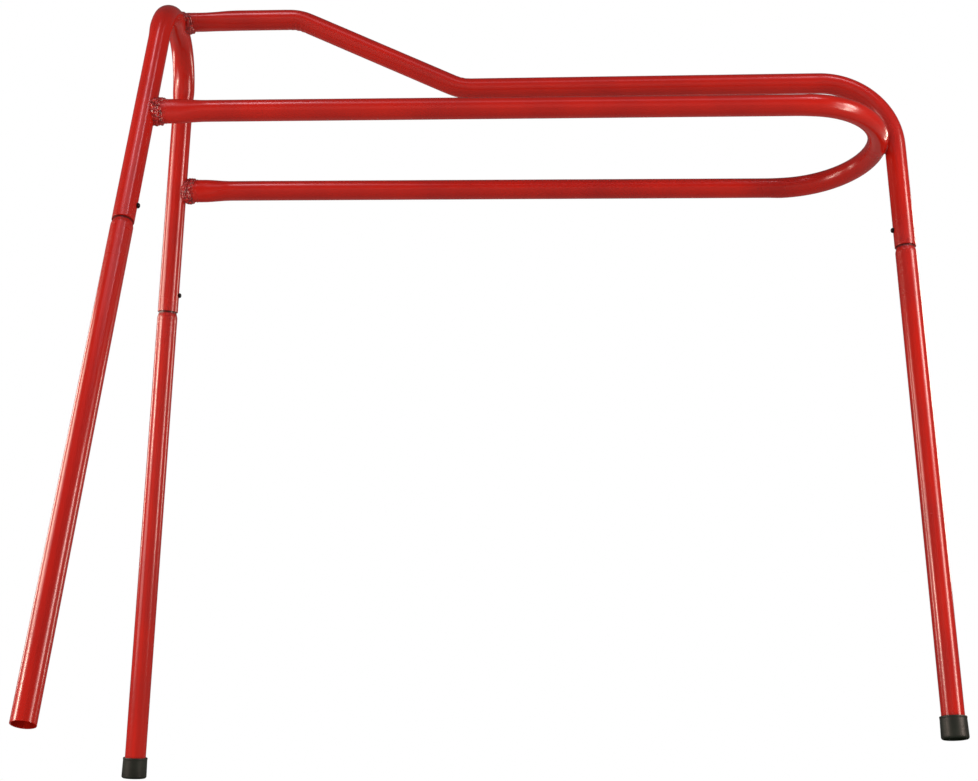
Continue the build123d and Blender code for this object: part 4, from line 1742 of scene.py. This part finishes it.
@dataclass
class Studio:
    """A pale floor, soft lights and the camera."""

    aim: Vector = Vector((0.0, 0.0, 0.48))
    softboxes: Sequence[Softbox] = (
        Softbox("front_fill", -10, -9, 3.0, 2.6, 2.6, 1.9, "#FFF4EE", mirrored=False),
        Softbox("back_fill", 172, 4, 3.0, 2.4, 2.4, 5.0, "#FFF4EE", mirrored=False),
        Softbox("under_fill", 0, -50, 3.0, 2.6, 2.6, 2.6, "#FFF4EE", mirrored=False),
        Softbox("left_box", -70, 3, 1.9, 0.9, 1.3, 2.8, "#FFDCD8"),
        Softbox("right_box", 60, 4, 1.8, 0.7, 1.3, 2.6, "#FFDCD8"),
        Softbox("left_high_strip", -81, 18, 1.95, 0.5, 0.6, 6.5, "#FFF0DA"),
        Softbox("left_low_strip", -68, 4, 1.9, 0.26, 0.34, 26, "#FFEAD4"),
        Softbox("right_low_box", 63, -6, 1.68, 0.24, 0.6, 12, "#FFEEDC"),
        Softbox("right_high_box", 65, 17, 1.7, 0.3, 0.55, 14, "#FFE4DA"),
        Softbox("left_rear_strip", -112, 12, 1.9, 0.25, 0.8, 10, "#FFF0E0"),
        Softbox("right_rear_strip", 125, 12, 1.8, 0.25, 0.8, 11, "#FFF0E0"),
        Softbox("top_wide_box", -6, 47, 2.4, 2.4, 0.6, 1.0, "#FFD2DE"),
        Softbox("top_left_box", -23, 53, 2.5, 0.26, 0.6, 7.0, "#FFD8E4"),
        Softbox("top_right_box", 37, 48, 2.4, 0.26, 0.6, 7.0, "#FFD8E4"),
    )
    floor_light: float = 3.0
    floor_light_angle: float = 50.0  # degrees that the light spans, for soft shadows
    world_colour: str = "#FFFFFF"
    world_light: float = 0.10  # what the surroundings shed on the rack, against the white behind it
    camera_place: Vector = Vector((-0.05629, -1.72032, -0.19929))
    camera_heading: float = 0.765  # degrees, turned right from +Y
    camera_pitch: float = 19.573
    camera_roll: float = -1.264
    lens: float = 57.36
    floor_size: float = 80.0
    floor_colour: str = "#E9E8E6"
    floor_bounce: str = "#827C78"  # what it sheds on the rack

    def floor(self) -> bpy.types.Object:
        """A pale floor that is seen from above and lets a camera below it look through.

        Returns:
            The floor's object.
        """
        tree, shader = open_material("Pale studio floor")
        seen = add_node(tree, "ShaderNodeLightPath").outputs["Is Camera Ray"]
        colour = add_node(
            tree,
            "ShaderNodeMix",
            {0: seen, 6: linear(self.floor_bounce), 7: linear(self.floor_colour)},
            data_type="RGBA",
        )
        tree.links.new(colour.outputs[2], shader.inputs["Base Color"])
        shader.inputs["Roughness"].default_value = 0.8
        back = add_node(tree, "ShaderNodeNewGeometry").outputs["Backfacing"]
        clear = add_node(tree, "ShaderNodeBsdfTransparent")
        both = add_node(tree, "ShaderNodeMixShader", {0: back, 1: shader, 2: clear})
        out = next(node for node in tree.nodes if node.type == "OUTPUT_MATERIAL")
        tree.links.new(both.outputs[0], out.inputs["Surface"])
        half = self.floor_size / 2
        mesh = bpy.data.meshes.new("floor")
        corners = [(-half, -half, 0), (half, -half, 0), (half, half, 0), (-half, half, 0)]
        mesh.from_pydata(corners, [], [(0, 1, 2, 3)])
        mesh.materials.append(bpy.data.materials["Pale studio floor"])
        floor = bpy.data.objects.new("floor", mesh)
        bpy.context.scene.collection.objects.link(floor)
        floor.visible_shadow = False  # the low fill shines past it
        return floor

    def world(self) -> None:
        """White behind the rack, and a dimmer even light from all round."""
        world = bpy.data.worlds.new("studio")
        bpy.context.scene.world = world
        world.use_nodes = True
        tree = world.node_tree
        tree.nodes.clear()
        seen = add_node(tree, "ShaderNodeLightPath").outputs["Is Camera Ray"]
        strength = {"Value": seen, 3: self.world_light, 4: 1.0}
        strength = add_node(tree, "ShaderNodeMapRange", strength)
        sky = {"Color": linear(self.world_colour), "Strength": strength}
        sky = add_node(tree, "ShaderNodeBackground", sky)
        tree.links.new(sky.outputs[0], tree.nodes.new("ShaderNodeOutputWorld").inputs["Surface"])

    def group(self, name: str, floor: bpy.types.Object, state: str) -> bpy.types.Collection:
        """A collection that lets a light reach the floor alone, or all but the floor.

        Args:
            name: the collection's name.
            floor: the floor's object.
            state: INCLUDE or EXCLUDE.

        Returns:
            The collection.
        """
        group = bpy.data.collections.new(name)
        group.objects.link(floor)
        group.collection_objects[0].light_linking.link_state = state
        return group

    def lights(self, floor: bpy.types.Object) -> None:
        """An even light for the floor, and softboxes for the rack, hidden from the camera.

        Args:
            floor: the floor's object.
        """
        sun = bpy.data.lights.new("floor_light", "SUN")
        sun.energy, sun.angle = self.floor_light, math.radians(self.floor_light_angle)
        lamp = bpy.data.objects.new("floor_light", sun)
        lamp.light_linking.receiver_collection = self.group("floor_only", floor, "INCLUDE")
        bpy.context.scene.collection.objects.link(lamp)
        rack_only = self.group("all_but_floor", floor, "EXCLUDE")
        for box in self.softboxes:
            light = bpy.data.lights.new(box.name, "AREA")
            light.shape, light.size, light.size_y = "RECTANGLE", box.width, box.height
            light.energy = box.glow * math.pi * box.width * box.height
            light.color = linear(box.colour)[:3]
            lamp = bpy.data.objects.new(box.name, light)
            heading, elevation = math.radians(box.heading), math.radians(box.elevation)
            away = Vector(
                (
                    math.sin(heading) * math.cos(elevation),
                    -math.cos(heading) * math.cos(elevation),
                    math.sin(elevation),
                )
            )
            lamp.location = self.aim + away * box.distance
            lamp.rotation_euler = away.to_track_quat("Z", "Y").to_euler()
            lamp.visible_camera, lamp.visible_glossy = False, box.mirrored
            lamp.light_linking.receiver_collection = rack_only
            bpy.context.scene.collection.objects.link(lamp)

    def camera(self) -> None:
        """The camera, low in front of the rack and looking up."""
        data = bpy.data.cameras.new("camera")
        data.lens = self.lens
        camera = bpy.data.objects.new("camera", data)
        camera.location = self.camera_place
        pitch, heading = math.radians(90 + self.camera_pitch), math.radians(self.camera_heading)
        turn = Euler((pitch, 0, -heading), "XYZ")
        roll = Matrix.Rotation(math.radians(self.camera_roll), 3, "Z")
        camera.rotation_euler = (turn.to_matrix() @ roll).to_euler()
        bpy.context.scene.collection.objects.link(camera)
        bpy.context.scene.camera = camera

    def build(self) -> None:
        """Sets up the whole studio."""
        floor = self.floor()
        self.world()
        self.lights(floor)
        self.camera()
        bpy.context.scene.view_settings.view_transform = "Standard"


def main() -> None:
    """Builds every sub-assembly in order, then the studio."""
    logging.basicConfig(level=logging.INFO, format="%(name)s %(message)s")
    layout, stock, paints = Layout(), Stock(), Paints()
    tube_maker, weld_maker = tube_tree(), weld_tree()
    WeldedFrame(layout, stock, paints).build(tube_maker, weld_maker)
    for seed, side in enumerate(Side):
        leg = PlugInLeg(side, layout, stock, paints, shod=side is not Side.NEAR)
        leg.build(tube_maker, 10.0 + seed)
    Studio().build()


if __name__ == "__main__":
    main()
